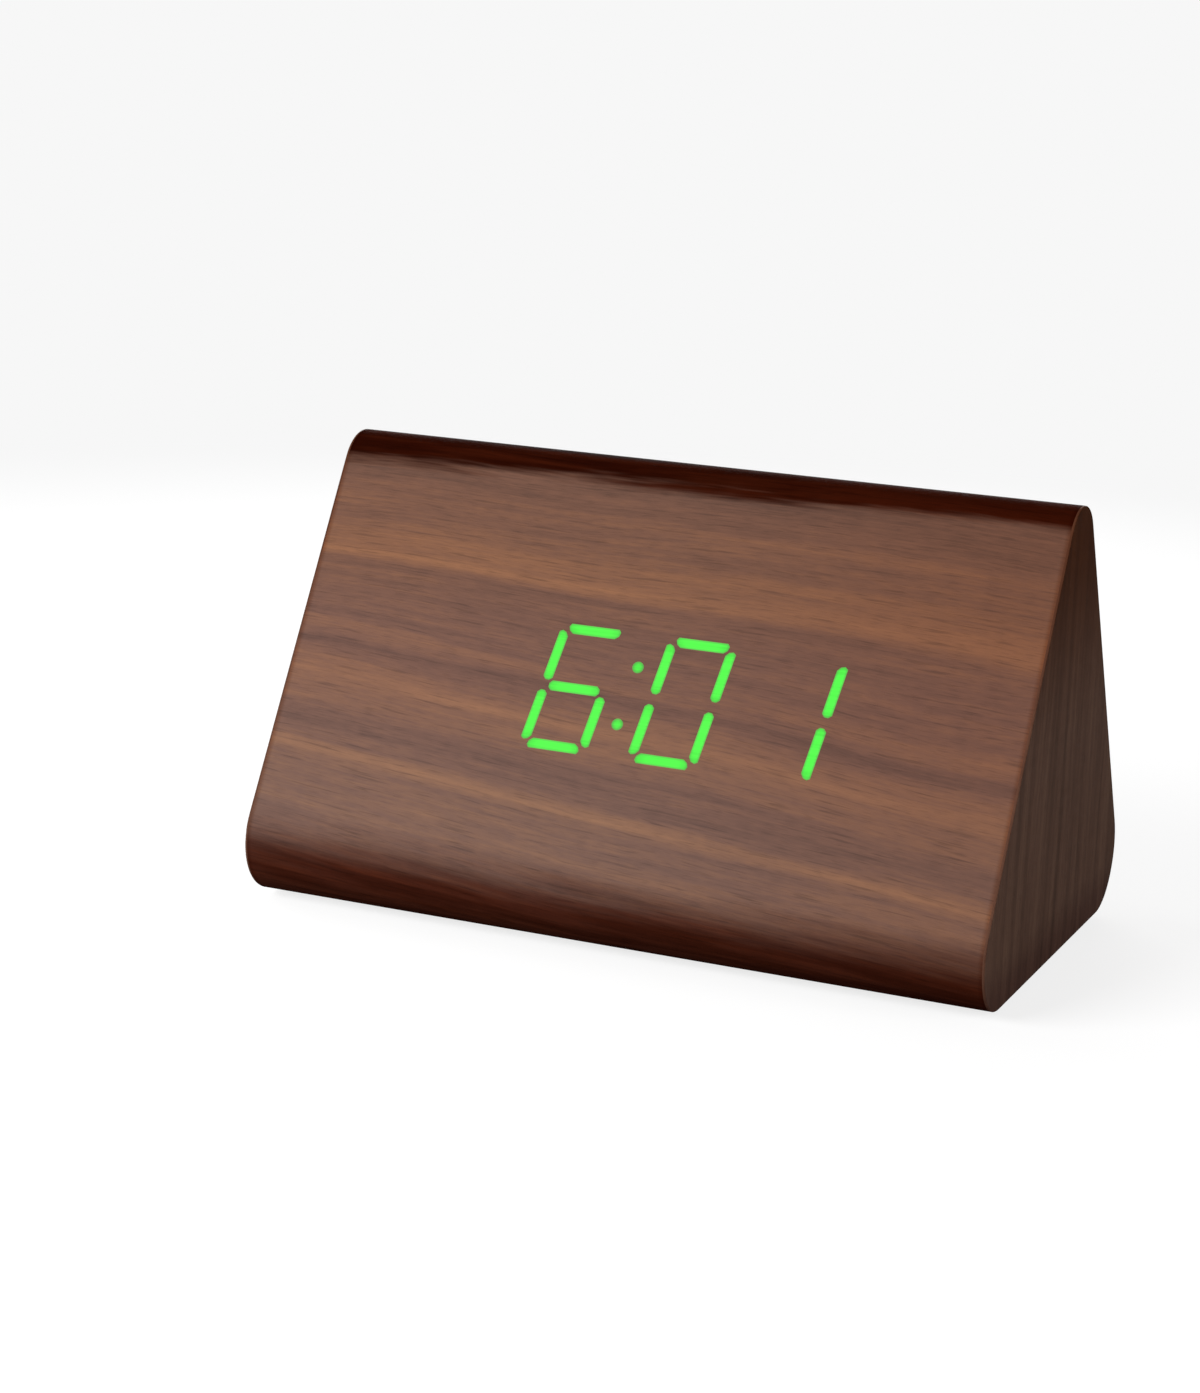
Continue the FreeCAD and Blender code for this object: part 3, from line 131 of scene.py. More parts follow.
table = bpy.data.meshes.new("table_top")
angles = [math.tau * i / TABLE_SIDES for i in range(TABLE_SIDES)]
ring = [(TABLE_RADIUS * math.cos(a), TABLE_RADIUS * math.sin(a), 0) for a in angles]
table.from_pydata(ring, [], [range(TABLE_SIDES)])
table.materials.append(table_finish)
floor = bpy.data.objects.new("table_top", table)
scene.collection.objects.link(floor)


CLOCK_MIDDLE = Vector((0, 0, 0.045))


def soft_light(name, azimuth, elevation, distance, size, watts):
    """A wide white lamp aimed at the middle of the clock. Azimuth 0 is in front, 90 at the right end."""
    lamp = bpy.data.lights.new(name, "AREA")
    lamp.shape = "RECTANGLE"
    lamp.size, lamp.size_y = size
    lamp.energy = watts
    rig = bpy.data.objects.new(name, lamp)
    scene.collection.objects.link(rig)
    a, e = math.radians(azimuth), math.radians(elevation)
    away = Vector((math.sin(a) * math.cos(e), -math.cos(a) * math.cos(e), math.sin(e)))
    rig.location = CLOCK_MIDDLE + away * distance
    rig.rotation_euler = away.to_track_quat("Z", "Y").to_euler()


soft_light("front_light", -32, 25, 0.85, (0.55, 0.35), 7.6)
soft_light("right_fill", 80, 14, 0.9, (0.5, 0.4), 3.4)
soft_light("rear_fill", 200, 14, 0.9, (0.6, 0.4), 5.6)
soft_light("left_fill", -100, 14, 0.9, (0.5, 0.4), 2.4)

camera = bpy.data.objects.new("camera", bpy.data.cameras.new("camera"))
scene.collection.objects.link(camera)
scene.camera = camera
camera.data.lens = 80.27
camera.data.sensor_width = 36
camera.data.clip_start = 0.01
place = Matrix.Translation((0.2149, -0.5565, 0.1807))
heading = Matrix.Rotation(math.radians(22.93), 4, "Z")
dip = Matrix.Rotation(math.radians(-13.11), 4, "X")
roll = Matrix.Rotation(math.radians(-2.45), 4, "Y")
camera.matrix_world = place @ heading @ dip @ roll @ Matrix.Rotation(math.pi / 2, 4, "X")
scene.view_settings.view_transform = "Standard"


# ---------------------------------------------------------------- walnut veneer of the case
# One sheet of 0.5 mm walnut, bent round the fibreboard prism and glued. Its grain runs along the
# clock, and its two edges meet in a fine seam under the base. A window in it takes the rear panel.
MM = 0.001
WRAP = {
    "Length": 149.0, "Base Width": 108.0, "Ridge Height": 96.5, "Foot Height": 1.0, "Base Radius": 11.5,
    "Ridge Radius": 8.5, "Thickness": 0.5, "Seam Place": 20.0, "Seam Width": 0.15, "Window Width": 126.3,
    "Window Height": 58.3, "Window Radius": 4.15, "Window Place": 57.5,
}
HALF_BASE = WRAP["Base Width"] / 2
SLOPE = math.atan2(WRAP["Ridge Height"], HALF_BASE)
# Heights on the sheet count from the sharp corner that the front slope would make with the base.
FRONT_FLAT = WRAP["Base Radius"] / math.tan(SLOPE / 2)
FRONT_BEND = WRAP["Base Radius"] * (math.pi - SLOPE)
SHEET_START = FRONT_FLAT - (WRAP["Seam Place"] + HALF_BASE - FRONT_FLAT + FRONT_BEND)


def times(tree, first, *others):
    for other in others:
        first = maths(tree, "MULTIPLY", first, other)
    return first


def plus(tree, first, *others):
    for other in others:
        first = maths(tree, "ADD", first, other)
    return first


def xyz(tree, x=0.0, y=0.0, z=0.0):
    return made(tree, "ShaderNodeCombineXYZ", {0: x, 1: y, 2: z})


def axes(tree, vector):
    return add_node(tree, "ShaderNodeSeparateXYZ", {0: vector}).outputs


def noise(tree, along, across, along_scale, across_scale, detail=2.0, roughness=0.5, shift=0.0):
    """Streaky noise on the sheet, stretched along the grain."""
    place = xyz(tree, scaled_plus(tree, along, along_scale, shift), times(tree, across, across_scale))
    wanted = {"Vector": place, "Scale": 1.0, "Detail": detail, "Roughness": roughness}
    return made(tree, "ShaderNodeTexNoise", wanted, noise_dimensions="2D")


def swing(tree, *numbers):
    """Noise that swings about nought."""
    return minus(tree, noise(tree, *numbers), 0.5)


def ramp(tree, value, stops):
    """A colour ramp. Each stop is (place, colour or grey)."""
    node = add_node(tree, "ShaderNodeValToRGB", {0: value})
    points = node.color_ramp.elements
    while len(points) < len(stops):
        points.new(0.5)
    for i, (place, tone) in enumerate(stops):
        points[i].position = place
        points[i].color = (*tone, 1) if isinstance(tone, tuple) else (tone, tone, tone, 1)
    return node.outputs[0]


def mix(tree, share, first, second, blend="MIX"):
    wanted = {0: share, 6: first, 7: second}
    return add_node(tree, "ShaderNodeMix", wanted, data_type="RGBA", blend_type=blend).outputs[2]


def tinted(tree, share, colour, tint):
    """A colour multiplied by a tint over a share of it: mostly painted shade or painted sheen."""
    return mix(tree, share, colour, mix(tree, 1.0, colour, tint, "MULTIPLY"))


def new_finish(name, **sockets):
    """A material with its own Principled shader. Returns the material, its tree and the shader."""
    material = bpy.data.materials.new(name)
    material.use_nodes = True
    shader = material.node_tree.nodes["Principled BSDF"]
    for key, value in sockets.items():
        shader.inputs[key.replace("_", " ")].default_value = value
    return material, material.node_tree, shader


def feed(tree, shader, **values):
    """Links values to the shader's sockets of these names."""
    for key, value in values.items():
        tree.links.new(value, shader.inputs[key.replace("_", " ")])


def add_relief(tree, shader, height, distance, strength=1.0):
    wanted = {"Height": height, "Distance": distance, "Strength": strength}
    feed(tree, shader, Normal=made(tree, "ShaderNodeBump", wanted))


def walnut_tone(tree, along, across, bands):
    """Brightness of the wood from 0 to 1: broad bands, streaks, thin lines, mottle and fibres."""
    fibres = noise(tree, along, across, 0.12, 4.5, 2.0, 0.6, 1.3)
    tone = scaled_plus(tree, swing(tree, along, across, 0.018, 0.42, 3.0, 0.6, 3.1), 0.36, bands)
    tone = scaled_plus(tree, swing(tree, along, across, 0.035, 1.6, 2.0, 0.6, 7.7), 0.20, tone)
    tone = scaled_plus(tree, swing(tree, along, across, 0.24, 0.75, 2.0, 0.6, 5.5), 0.17, tone)
    return scaled_plus(tree, minus(tree, fibres, 0.5), 0.13, tone), fibres


def walnut_pores(tree, along, across):
    """A mask of short dark vessels."""
    return between(tree, noise(tree, along, across, 0.28, 5.5, 1.0, 0.4, 5.0), 0.60, 0.72)


def oil(tree, shader, colour, fibres, pores, roughness, relief):
    """Satin oiled wood: fibres are a little duller, and pores lie a little lower."""
    feed(tree, shader, Base_Color=colour, Roughness=scaled_plus(tree, fibres, 0.16, roughness))
    add_relief(tree, shader, scaled_plus(tree, pores, -1.0, fibres), 0.00003, relief)


WALNUT = (
    (0.0, (0.074, 0.041, 0.036)),
    (0.28, (0.120, 0.067, 0.055)),
    (0.5, (0.174, 0.091, 0.069)),
    (0.72, (0.235, 0.116, 0.074)),
    (1.0, (0.31, 0.150, 0.085)),
)
# Bands of the sheet over the front slope, as (height up the slope in mm, tone). Their fall toward the
# ridge is partly painted shade.
FRONT_BANDS = (
    (10, 0.50), (20, 0.58), (27, 0.55), (29, 0.76), (31, 0.56), (34.5, 0.45), (37, 0.47), (39.5, 0.60),
    (43, 0.62), (45, 0.77), (47.5, 0.66), (50, 0.54), (52, 0.38), (53.5, 0.54), (55, 0.62), (58, 0.50),
    (62, 0.52), (66.5, 0.47), (68.5, 0.57), (70.3, 0.46), (71.8, 0.60), (73.3, 0.80), (75, 0.66),
    (77.5, 0.68), (81, 0.52), (85.5, 0.56), (88, 0.51), (91, 0.44), (95, 0.40),
)
BAND_LOW, BAND_HIGH = 10.0, 95.0
SLOPE_LOW, SLOPE_HIGH = 30, 96
BEND_END = 104
RIDGE_LINE = 104.4
CUT_START, CUT_END = 73.4, 74.5

veneer_finish, tree, shader = new_finish("walnut_veneer", Roughness=0.5, Specular_IOR_Level=0.001)
along, height, _ = axes(tree, made(tree, "ShaderNodeUVMap", uv_map="sheet"))
drift = times(tree, along, between(tree, height, SLOPE_LOW, SLOPE_HIGH, 0.092, 0.02))
waves = times(tree, swing(tree, along, height, 0.014, 0.02, 1.0), 3.0)
across = plus(tree, height, drift, waves)
up_bands = made(tree, "ShaderNodeMapRange", {"Value": across, "From Min": BAND_LOW, "From Max": BAND_HIGH})
stops = [((place - BAND_LOW) / (BAND_HIGH - BAND_LOW), tone) for place, tone in FRONT_BANDS]
front_bands = ramp(tree, up_bands, stops)
other_bands = times(tree, swing(tree, along, across, 0.006, 0.11, 2.0, 0.5, 2.0), 1.3)
bands = scaled_plus(tree, other_bands, between(tree, height, SLOPE_HIGH, BEND_END), front_bands)
tone, fibres = walnut_tone(tree, along, across, bands)
pores = walnut_pores(tree, along, across)
flecks = between(tree, noise(tree, along, across, 0.085, 1.7, 2.0, 0.5, 9.0), 0.58, 0.76)
colour = ramp(tree, tone, WALNUT)
colour = mix(tree, times(tree, flecks, 0.36), colour, (0.07, 0.042, 0.036, 1))
colour = mix(tree, times(tree, pores, 0.14), colour, (0.05, 0.028, 0.022, 1))
# Painted sheen: the leaf is greyer and paler toward the base and browner toward the ridge. Painted
# shade: it is darker and redder toward the right end.
for share, tint in (
    (between(tree, height, 22, 58, 1.0, 0.0), (1.03, 1.13, 1.17, 1)),
    (between(tree, height, 58, 80), (1.0, 0.95, 0.86, 1)),
    (between(tree, along, -10, 75), (0.96, 0.87, 0.82, 1)),
):
    colour = tinted(tree, share, colour, tint)
# Painted shade along the grain where the sheet is bent: the ridge and the lower edges, which turn
# away from the lamps, are painted dark red.
tilt = times(tree, along, between(tree, height, SLOPE_LOW, SLOPE_HIGH, 0.02, -0.006))
ragged = swing(tree, along, across, 0.022, 0.33, 3.0, 0.65, 4.0)
askew = scaled_plus(tree, ragged, 6.0, plus(tree, height, tilt))
from_ridge = maths(tree, "ABSOLUTE", minus(tree, askew, RIDGE_LINE))
painted_ridge_shade = between(tree, from_ridge, 6.8, 10.4, 1.0, 0.0)
near_side = between(tree, from_ridge, 83.0, 95.0)
painted_bend_shade = maths(tree, "MINIMUM", near_side, between(tree, from_ridge, 104.0, 116.0, 1.0, 0.0))
change = between(tree, height, SLOPE_LOW, SLOPE_HIGH, -0.0012, 0.003)
sideways = times(tree, plus(tree, along, 20.0), change)
shade_mottle = plus(tree, noise(tree, along, across, 0.034, 0.42, 2.0, 0.55, 8.0), sideways)
shade_mottle = between(tree, shade_mottle, 0.34, 0.70)
for share, dark, light in (
    (painted_ridge_shade, (0.14, 0.038, 0.016, 1), (0.24, 0.075, 0.034, 1)),
    (painted_bend_shade, (0.25, 0.095, 0.06, 1), (0.37, 0.16, 0.11, 1)),
):
    colour = tinted(tree, share, colour, mix(tree, shade_mottle, dark, light))
# Both cut ends of the sheet are darkened toward the tone of the end leaves.
cut_end = between(tree, maths(tree, "ABSOLUTE", along), CUT_START, CUT_END)
colour = tinted(tree, cut_end, colour, (0.78, 0.65, 0.56, 1))
oil(tree, shader, colour, fibres, pores, 0.44, 0.6)


def new_shape_tree(name, sizes):
    """An empty Geometry Nodes tree with named size inputs. Returns the tree and its input sockets."""
    shape = bpy.data.node_groups.new(name, "GeometryNodeTree")
    shape.interface.new_socket("Geometry", in_out="INPUT", socket_type="NodeSocketGeometry")
    for label in sizes:
        shape.interface.new_socket(label, in_out="INPUT", socket_type="NodeSocketFloat")
    shape.interface.new_socket("Geometry", in_out="OUTPUT", socket_type="NodeSocketGeometry")
    return shape, add_node(shape, "NodeGroupInput").outputs


def moved(shape, geometry, **how):
    return made(shape, "GeometryNodeTransform", {"Geometry": geometry, **how})


def close_shape(shape, geometry, finish):
    """Ends a tree that is drawn in millimetres: real geometry in metres, of one finish."""
    real = made(shape, "GeometryNodeRealizeInstances", {0: moved(shape, geometry, Scale=(MM, MM, MM))})
    dressed = made(shape, "GeometryNodeSetMaterial", {"Geometry": real, "Material": finish})
    add_node(shape, "NodeGroupOutput", {0: dressed})


CREASE = math.radians(28)


def grow(name, shape, sizes, points=None):
    """Runs a tree once and returns its result as a plain mesh object."""
    host = bpy.data.objects.new(name + "_host", points or bpy.data.meshes.new(name + "_host"))
    scene.collection.objects.link(host)
    modifier = host.modifiers.new("shape", "NODES")
    modifier.node_group = shape
    for item in shape.interface.items_tree:
        if item.in_out == "INPUT" and item.name in sizes:
            modifier[item.identifier] = float(sizes[item.name])
    graph = bpy.context.evaluated_depsgraph_get()
    grown = host.evaluated_get(graph)
    mesh = bpy.data.meshes.new_from_object(grown, preserve_all_data_layers=True, depsgraph=graph)
    bpy.data.objects.remove(host)
    mesh.name = name
    mesh.shade_smooth()
    mesh.set_sharp_from_angle(angle=CREASE)
    piece = bpy.data.objects.new(name, mesh)
    scene.collection.objects.link(piece)
    return piece


def join(shape, *parts):
    whole = add_node(shape, "GeometryNodeJoinGeometry")
    for part in parts:
        shape.links.new(part, whole.inputs[0])
    return whole.outputs[0]


def weld(shape, geometry, distance):
    return made(shape, "GeometryNodeMergeByDistance", {"Geometry": geometry, "Distance": distance})


def keep(shape, geometry, name, value, kind="FLOAT", domain="POINT"):
    """The geometry with a value stored on it."""
    wanted = {"Geometry": geometry, "Name": name, "Value": value}
    return made(shape, "GeometryNodeStoreNamedAttribute", wanted, data_type=kind, domain=domain)


def attribute(shape, name, kind="FLOAT"):
    return made(shape, "GeometryNodeInputNamedAttribute", {"Name": name}, data_type=kind)


def position(shape):
    return made(shape, "GeometryNodeInputPosition")


def slab(shape, outline, low, depth):
    """Closed slab from a flat closed curve, from low up by depth."""
    face = made(shape, "GeometryNodeFillCurve", {0: outline}, mode="NGONS")
    face = moved(shape, face, Translation=xyz(shape, z=low))
    wanted = {"Mesh": face, "Offset": xyz(shape, z=depth), "Individual": False}
    walls = made(shape, "GeometryNodeExtrudeMesh", wanted)
    back = made(shape, "GeometryNodeFlipFaces", {0: face})
    return weld(shape, join(shape, back, walls), 1e-6)


def rounded_outline(shape, width, height, radius, count):
    sharp = made(shape, "GeometryNodeCurvePrimitiveQuadrilateral", {"Width": width, "Height": height})
    wanted = {"Curve": sharp, "Count": count, "Radius": radius}
    return made(shape, "GeometryNodeFilletCurve", wanted, mode="POLY")


def cut_away(shape, body, *tools):
    cut = add_node(shape, "GeometryNodeMeshBoolean", {0: body}, operation="DIFFERENCE", solver="EXACT")
    for tool in tools:
        shape.links.new(tool, cut.inputs[1])
    return cut.outputs[0]


def pick(shape, kind, which, choices):
    """The choice whose number is the index."""
    node = add_node(shape, "GeometryNodeIndexSwitch", {0: which}, data_type=kind)
    while len(node.index_switch_items) < len(choices):
        node.index_switch_items.new()
    for i, choice in enumerate(choices):
        if isinstance(choice, bpy.types.NodeSocket):
            shape.links.new(choice, node.inputs[i + 1])
        else:
            node.inputs[i + 1].default_value = choice
    return node.outputs[0]


BEND_STEPS = 22
shape, size = new_shape_tree("bent_veneer_sheet", WRAP)
half = times(shape, size["Base Width"], 0.5)
low = size["Foot Height"]
top = plus(shape, low, size["Ridge Height"])
far_edge = plus(shape, size["Seam Place"], size["Seam Width"])
folds = ((size["Seam Place"], low), (times(shape, half, -1.0), low), (0.0, top), (half, low), (far_edge, low))
corners = [xyz(shape, 0.0, y, z) for y, z in folds]
radii = [0.0, size["Base Radius"], size["Ridge Radius"], size["Base Radius"], 0.0]
index = made(shape, "GeometryNodeInputIndex")
spine = made(shape, "GeometryNodeMeshLine", {"Count": len(corners)})
wanted = {"Geometry": spine, "Position": pick(shape, "VECTOR", index, corners)}
spine = made(shape, "GeometryNodeMeshToCurve", {"Mesh": made(shape, "GeometryNodeSetPosition", wanted)})
wanted = {"Curve": spine, "Count": BEND_STEPS, "Radius": pick(shape, "FLOAT", index, radii)}
bend = made(shape, "GeometryNodeFilletCurve", wanted, mode="POLY")
girth = add_node(shape, "GeometryNodeSplineParameter").outputs["Length"]
edge = made(shape, "GeometryNodeCurveToMesh", {0: keep(shape, bend, "girth", girth)})
edge = moved(shape, edge, Translation=xyz(shape, times(shape, size["Length"], -0.5)))
wanted = {"Mesh": edge, "Offset": xyz(shape, size["Length"])}
skin = made(shape, "GeometryNodeExtrudeMesh", wanted, mode="EDGES")
wanted = {"Mesh": skin, "Offset Scale": times(shape, size["Thickness"], -1.0), "Individual": False}
inner = made(shape, "GeometryNodeExtrudeMesh", wanted, mode="FACES")
inner = made(shape, "GeometryNodeFlipFaces", {0: inner})
shell = weld(shape, join(shape, inner, skin), 0.001)
along_x = axes(shape, position(shape))[0]
sheet_place = xyz(shape, along_x, plus(shape, attribute(shape, "girth"), SHEET_START))
shell = keep(shape, shell, "sheet", sheet_place, "FLOAT2", "CORNER")
window = rounded_outline(shape, size["Window Width"], size["Window Height"], size["Window Radius"], 10)
cutter = moved(shape, slab(shape, window, -3.0, 5.0), Translation=xyz(shape, 0.0, size["Window Place"]))
to_slope = {"Translation": xyz(shape, 0.0, half, low), "Rotation": (math.pi - SLOPE, 0, 0)}
close_shape(shape, cut_away(shape, shell, moved(shape, cutter, **to_slope)), veneer_finish)

wrap = grow("wrap_veneer", shape, WRAP)
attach(wrap, "case")
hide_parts("case_veneer")


# ---------------------------------------------------------------- end veneers
# A leaf of the same veneer closes each end, with its grain upright. Its outer edge is eased with fine
# paper and takes the stain redder. The leaves are darker than the wrap. Painted shade darkens and
# reddens them toward the ridge, and a painted shadow darkens their foot.
def in_mm(tree, place):
    return made(tree, "ShaderNodeVectorMath", {0: place, "Scale": 1000.0}, operation="SCALE")


def dress(finish, *names):
    """Gives CAD nodes a finish."""
    for name in names:
        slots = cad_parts[name].data.materials
        for i in range(len(slots)):
            slots[i] = finish


END_WALNUT = (
    (0.0, (0.036, 0.022, 0.016)),
    (0.3, (0.066, 0.037, 0.026)),
    (0.5, (0.094, 0.051, 0.036)),
    (0.7, (0.124, 0.070, 0.048)),
    (1.0, (0.170, 0.098, 0.068)),
)
LEAF_INSIDE, LEAF_FACE = 74.90, 74.97
end_finish, tree, shader = new_finish("walnut_end_veneer", Roughness=0.55, Specular_IOR_Level=0.01)
x, y, z = axes(tree, in_mm(tree, object_place(tree)))
lean = scaled_plus(tree, z, 0.035, y)
waves = times(tree, swing(tree, z, y, 0.012, 0.03, 1.0, 0.5, 4.0), 5.0)
across = plus(tree, lean, waves, times(tree, x, 0.31))
bands = scaled_plus(tree, noise(tree, z, across, 0.004, 0.16, 2.0, 0.55, 6.0), 0.7, 0.15)
tone, fibres = walnut_tone(tree, z, across, bands)
pores = walnut_pores(tree, z, across)
colour = ramp(tree, tone, END_WALNUT)
colour = mix(tree, times(tree, pores, 0.25), colour, (0.02, 0.012, 0.01, 1))
# Painted shade: the leaf is darker and redder toward the ridge.
colour = tinted(tree, between(tree, z, 40, 84), colour, (0.50, 0.27, 0.13, 1))
# Painted shadow: the leaf is darker at its foot, by the table.
colour = tinted(tree, between(tree, z, 3, 12, 1.0, 0.0), colour, (0.72, 0.66, 0.70, 1))
rim = between(tree, maths(tree, "ABSOLUTE", x), LEAF_INSIDE, LEAF_FACE, 0.5, 0.0)
colour = mix(tree, rim, colour, (0.135, 0.050, 0.028, 1))
oil(tree, shader, colour, fibres, pores, 0.46, 0.5)
dress(end_finish, "left_end_veneer", "right_end_veneer")


# ---------------------------------------------------------------- fibreboard walls and end panels
# Three mitred walls and two plugs of raw 6 mm fibreboard, glued into the tube that carries the
# veneer. Pressed faces are smooth and darker, and sawn edges show the paler, hairy fibres.
def object_noise(tree, size, detail=2.0, roughness=0.5, stretch=(1, 1, 1)):
    """Noise of this size in millimetres on object coordinates, drawn out by stretch."""
    squeeze = tuple(1 / s for s in stretch)
    wanted = {0: object_place(tree), 1: squeeze}
    place = made(tree, "ShaderNodeVectorMath", wanted, operation="MULTIPLY")
    wanted = {"Vector": place, "Scale": 1000.0 / size, "Detail": detail, "Roughness": roughness}
    return made(tree, "ShaderNodeTexNoise", wanted)


def two_tone(name, dark, light, size, relief, roughness, stretch=(1, 1, 1), detail=3.0, **sockets):
    """A finish that wanders between two tones, with relief and gloss that follow."""
    material, tree, shader = new_finish(name, **sockets)
    grain = object_noise(tree, size, detail, 0.6, stretch)
    low, high = roughness
    feed(tree, shader, Base_Color=ramp(tree, grain, ((0.3, dark), (0.7, light))))
    feed(tree, shader, Roughness=scaled_plus(tree, grain, high - low, low))
    add_relief(tree, shader, grain, relief, 0.5)
    return material, tree, shader


def overlay(tree, shader, share, colour):
    """Lays a colour over a share of a finish."""
    base = shader.inputs["Base Color"].links[0].from_socket
    feed(tree, shader, Base_Color=mix(tree, share, base, colour))


fibreboard, tree, shader = two_tone(
    "raw_fibreboard", (0.24, 0.15, 0.075), (0.42, 0.29, 0.16), 0.5, 0.00006, (0.8, 0.95), (3.5, 3.5, 1), 4.0,
    Specular_IOR_Level=0.1,
)
chips = between(tree, object_noise(tree, 0.35, 1.0, 0.5, (5, 5, 1)), 0.62, 0.72)
overlay(tree, shader, times(tree, chips, 0.5), (0.12, 0.07, 0.035, 1))
dress(fibreboard, "front_wall", "rear_wall", "base_wall", "left_end_panel", "right_end_panel")


# ---------------------------------------------------------------- rubber feet
# Four die-cut pads of black rubber, stuck under the base near its corners. They are domed a little
# at the rim, matt, and dusty from the talc they are packed in.
rubber, tree, shader = two_tone(
    "black_rubber", (0.010, 0.010, 0.010), (0.022, 0.022, 0.022), 0.6, 0.00002, (0.75, 0.9),
    Specular_IOR_Level=0.3,
)
dust = between(tree, object_noise(tree, 2.5, 3.0, 0.6), 0.52, 0.75)
overlay(tree, shader, times(tree, dust, 0.12), (0.3, 0.29, 0.27, 1))


def lathe_blank(shape, sides, stations):
    """A flat grid to bend round z. Returns it with its turn, from 0 to 1, and its station number."""
    wanted = {"Size X": 1.0, "Size Y": 1.0, "Vertices X": sides + 1, "Vertices Y": stations}
    x, y, _ = axes(shape, position(shape))
    station = times(shape, plus(shape, y, 0.5), stations - 1)
    return made(shape, "GeometryNodeMeshGrid", wanted), plus(shape, x, 0.5), maths(shape, "ROUND", station)


def lathe(shape, blank, turn, radius, height):
    """The grid bent round z, with its seam and both its poles closed."""
    angle = times(shape, turn, math.tau)
    x = times(shape, radius, maths(shape, "COSINE", angle))
    y = times(shape, radius, maths(shape, "SINE", angle))
    wanted = {"Geometry": blank, "Position": xyz(shape, x, y, height)}
    return weld(shape, made(shape, "GeometryNodeSetPosition", wanted), 1e-4)


def seeds(name, places, **values):
    """Points that carry their own values, for a tree to build on."""
    cloud = bpy.data.meshes.new(name)
    cloud.from_pydata([tuple(p) for p in places], [], [])
    for key, numbers in values.items():
        kind = "INT" if all(isinstance(n, int) for n in numbers) else "FLOAT"
        cloud.attributes.new(key, kind, "POINT").data.foreach_set("value", numbers)
    return cloud


def on_points(shape, points, instance, **wanted):
    wanted = {"Points": points, "Instance": instance, **wanted}
    return made(shape, "GeometryNodeInstanceOnPoints", wanted)


FOOT_PAD = {"Diameter": 8.0, "Height": 1.0, "Rim Round": 0.3}
FOOT_X, FOOT_Y = 61, 26
shape, size = new_shape_tree("foot_pads", FOOT_PAD)
full = times(shape, size["Diameter"], 0.5)
eased = times(shape, size["Rim Round"], 0.29)
inner = minus(shape, full, size["Rim Round"])
radii = (0.0, inner, minus(shape, full, eased), full, full, 0.0)
heights = (0.0, 0.0, eased, size["Rim Round"], size["Height"], size["Height"])
blank, turn, station = lathe_blank(shape, 48, len(radii))
radius = pick(shape, "FLOAT", station, radii)
pad = lathe(shape, blank, turn, radius, pick(shape, "FLOAT", station, heights))
close_shape(shape, on_points(shape, size["Geometry"], pad), rubber)
places = [(x, y, 0) for x in (-FOOT_X, FOOT_X) for y in (-FOOT_Y, FOOT_Y)]
pads = grow("foot_pads", shape, FOOT_PAD, seeds("foot_places", places))
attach(pads, "case")
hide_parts("rubber_feet")


# ---------------------------------------------------------------- lit segments
# Green light from epoxy windows behind the veneer shows through it as crisp bars that read 6:01. Over
# each window lies the bar of wood that it lights. The light spreads a little toward the corners of a
# figure, so that bar is fuller there.
lit_finish, tree, shader = new_finish("lit_green", Roughness=0.6, Specular_IOR_Level=0.1)
x, _, z = axes(tree, in_mm(tree, object_place(tree)))
threads = noise(tree, x, z, 0.10, 3.0, 2.0, 0.5, 2.0)
bar_place = add_node(tree, "ShaderNodeAttribute", attribute_name="bar_place").outputs["Vector"]
bar_x, bar_y, reach = axes(tree, bar_place)
past_reach = minus(tree, maths(tree, "ABSOLUTE", bar_x), reach)
past_end = maths(tree, "MAXIMUM", past_reach, 0.0)
from_core = maths(tree, "SQRT", scaled_plus(tree, past_end, past_end, times(tree, bar_y, bar_y)))
glow = mix(tree, between(tree, from_core, 0.45, 1.15), (0.082, 1.0, 0.066, 1), (0.120, 0.50, 0.085, 1))
power = scaled_plus(tree, threads, 0.22, between(tree, past_reach, -1.6, 1.0, 0.83, 0.66))
epoxy = ramp(tree, threads, ((0.3, (0.012, 0.06, 0.010)), (0.7, (0.018, 0.08, 0.014))))
feed(tree, shader, Emission_Color=glow, Emission_Strength=power, Base_Color=epoxy)

SEGMENTS = {
    "Width": 2.0, "Mitre": 0.6, "Flat Length": 10.5, "Upright Length": 10.1, "Dot Diameter": 2.3,
    "Depth": 2.6, "Proud": 0.03, "Veneer Thickness": WRAP["Thickness"], "Splay": 0.32, "Drift": 0.22,
}
shape, size = new_shape_tree("display_segments", SEGMENTS)
well_floor = minus(shape, size["Proud"], size["Depth"])
under_veneer = times(shape, size["Veneer Thickness"], -1.0)
well_depth = minus(shape, under_veneer, well_floor)
wood_depth = plus(shape, size["Veneer Thickness"], size["Proud"])
flat = rounded_outline(shape, size["Flat Length"], size["Width"], size["Mitre"], 1)
upright = rounded_outline(shape, size["Upright Length"], size["Width"], size["Mitre"], 1)
wanted = {"Resolution": 28, "Radius": times(shape, size["Dot Diameter"], 0.5)}
dot = made(shape, "GeometryNodeCurvePrimitiveCircle", wanted)


def lit_bar(shape, outline, length):
    """Epoxy in its well, and the lit wood over it. Both carry their own x, y and half length for the glow."""
    x, y, _ = axes(shape, position(shape))
    own = xyz(shape, x, y, times(shape, minus(shape, length, size["Width"]), 0.5))
    well = slab(shape, outline, well_floor, well_depth)
    wood = keep(shape, slab(shape, outline, under_veneer, wood_depth), "in_wood", 1.0)
    return keep(shape, join(shape, well, wood), "bar_place", own, "FLOAT_VECTOR")


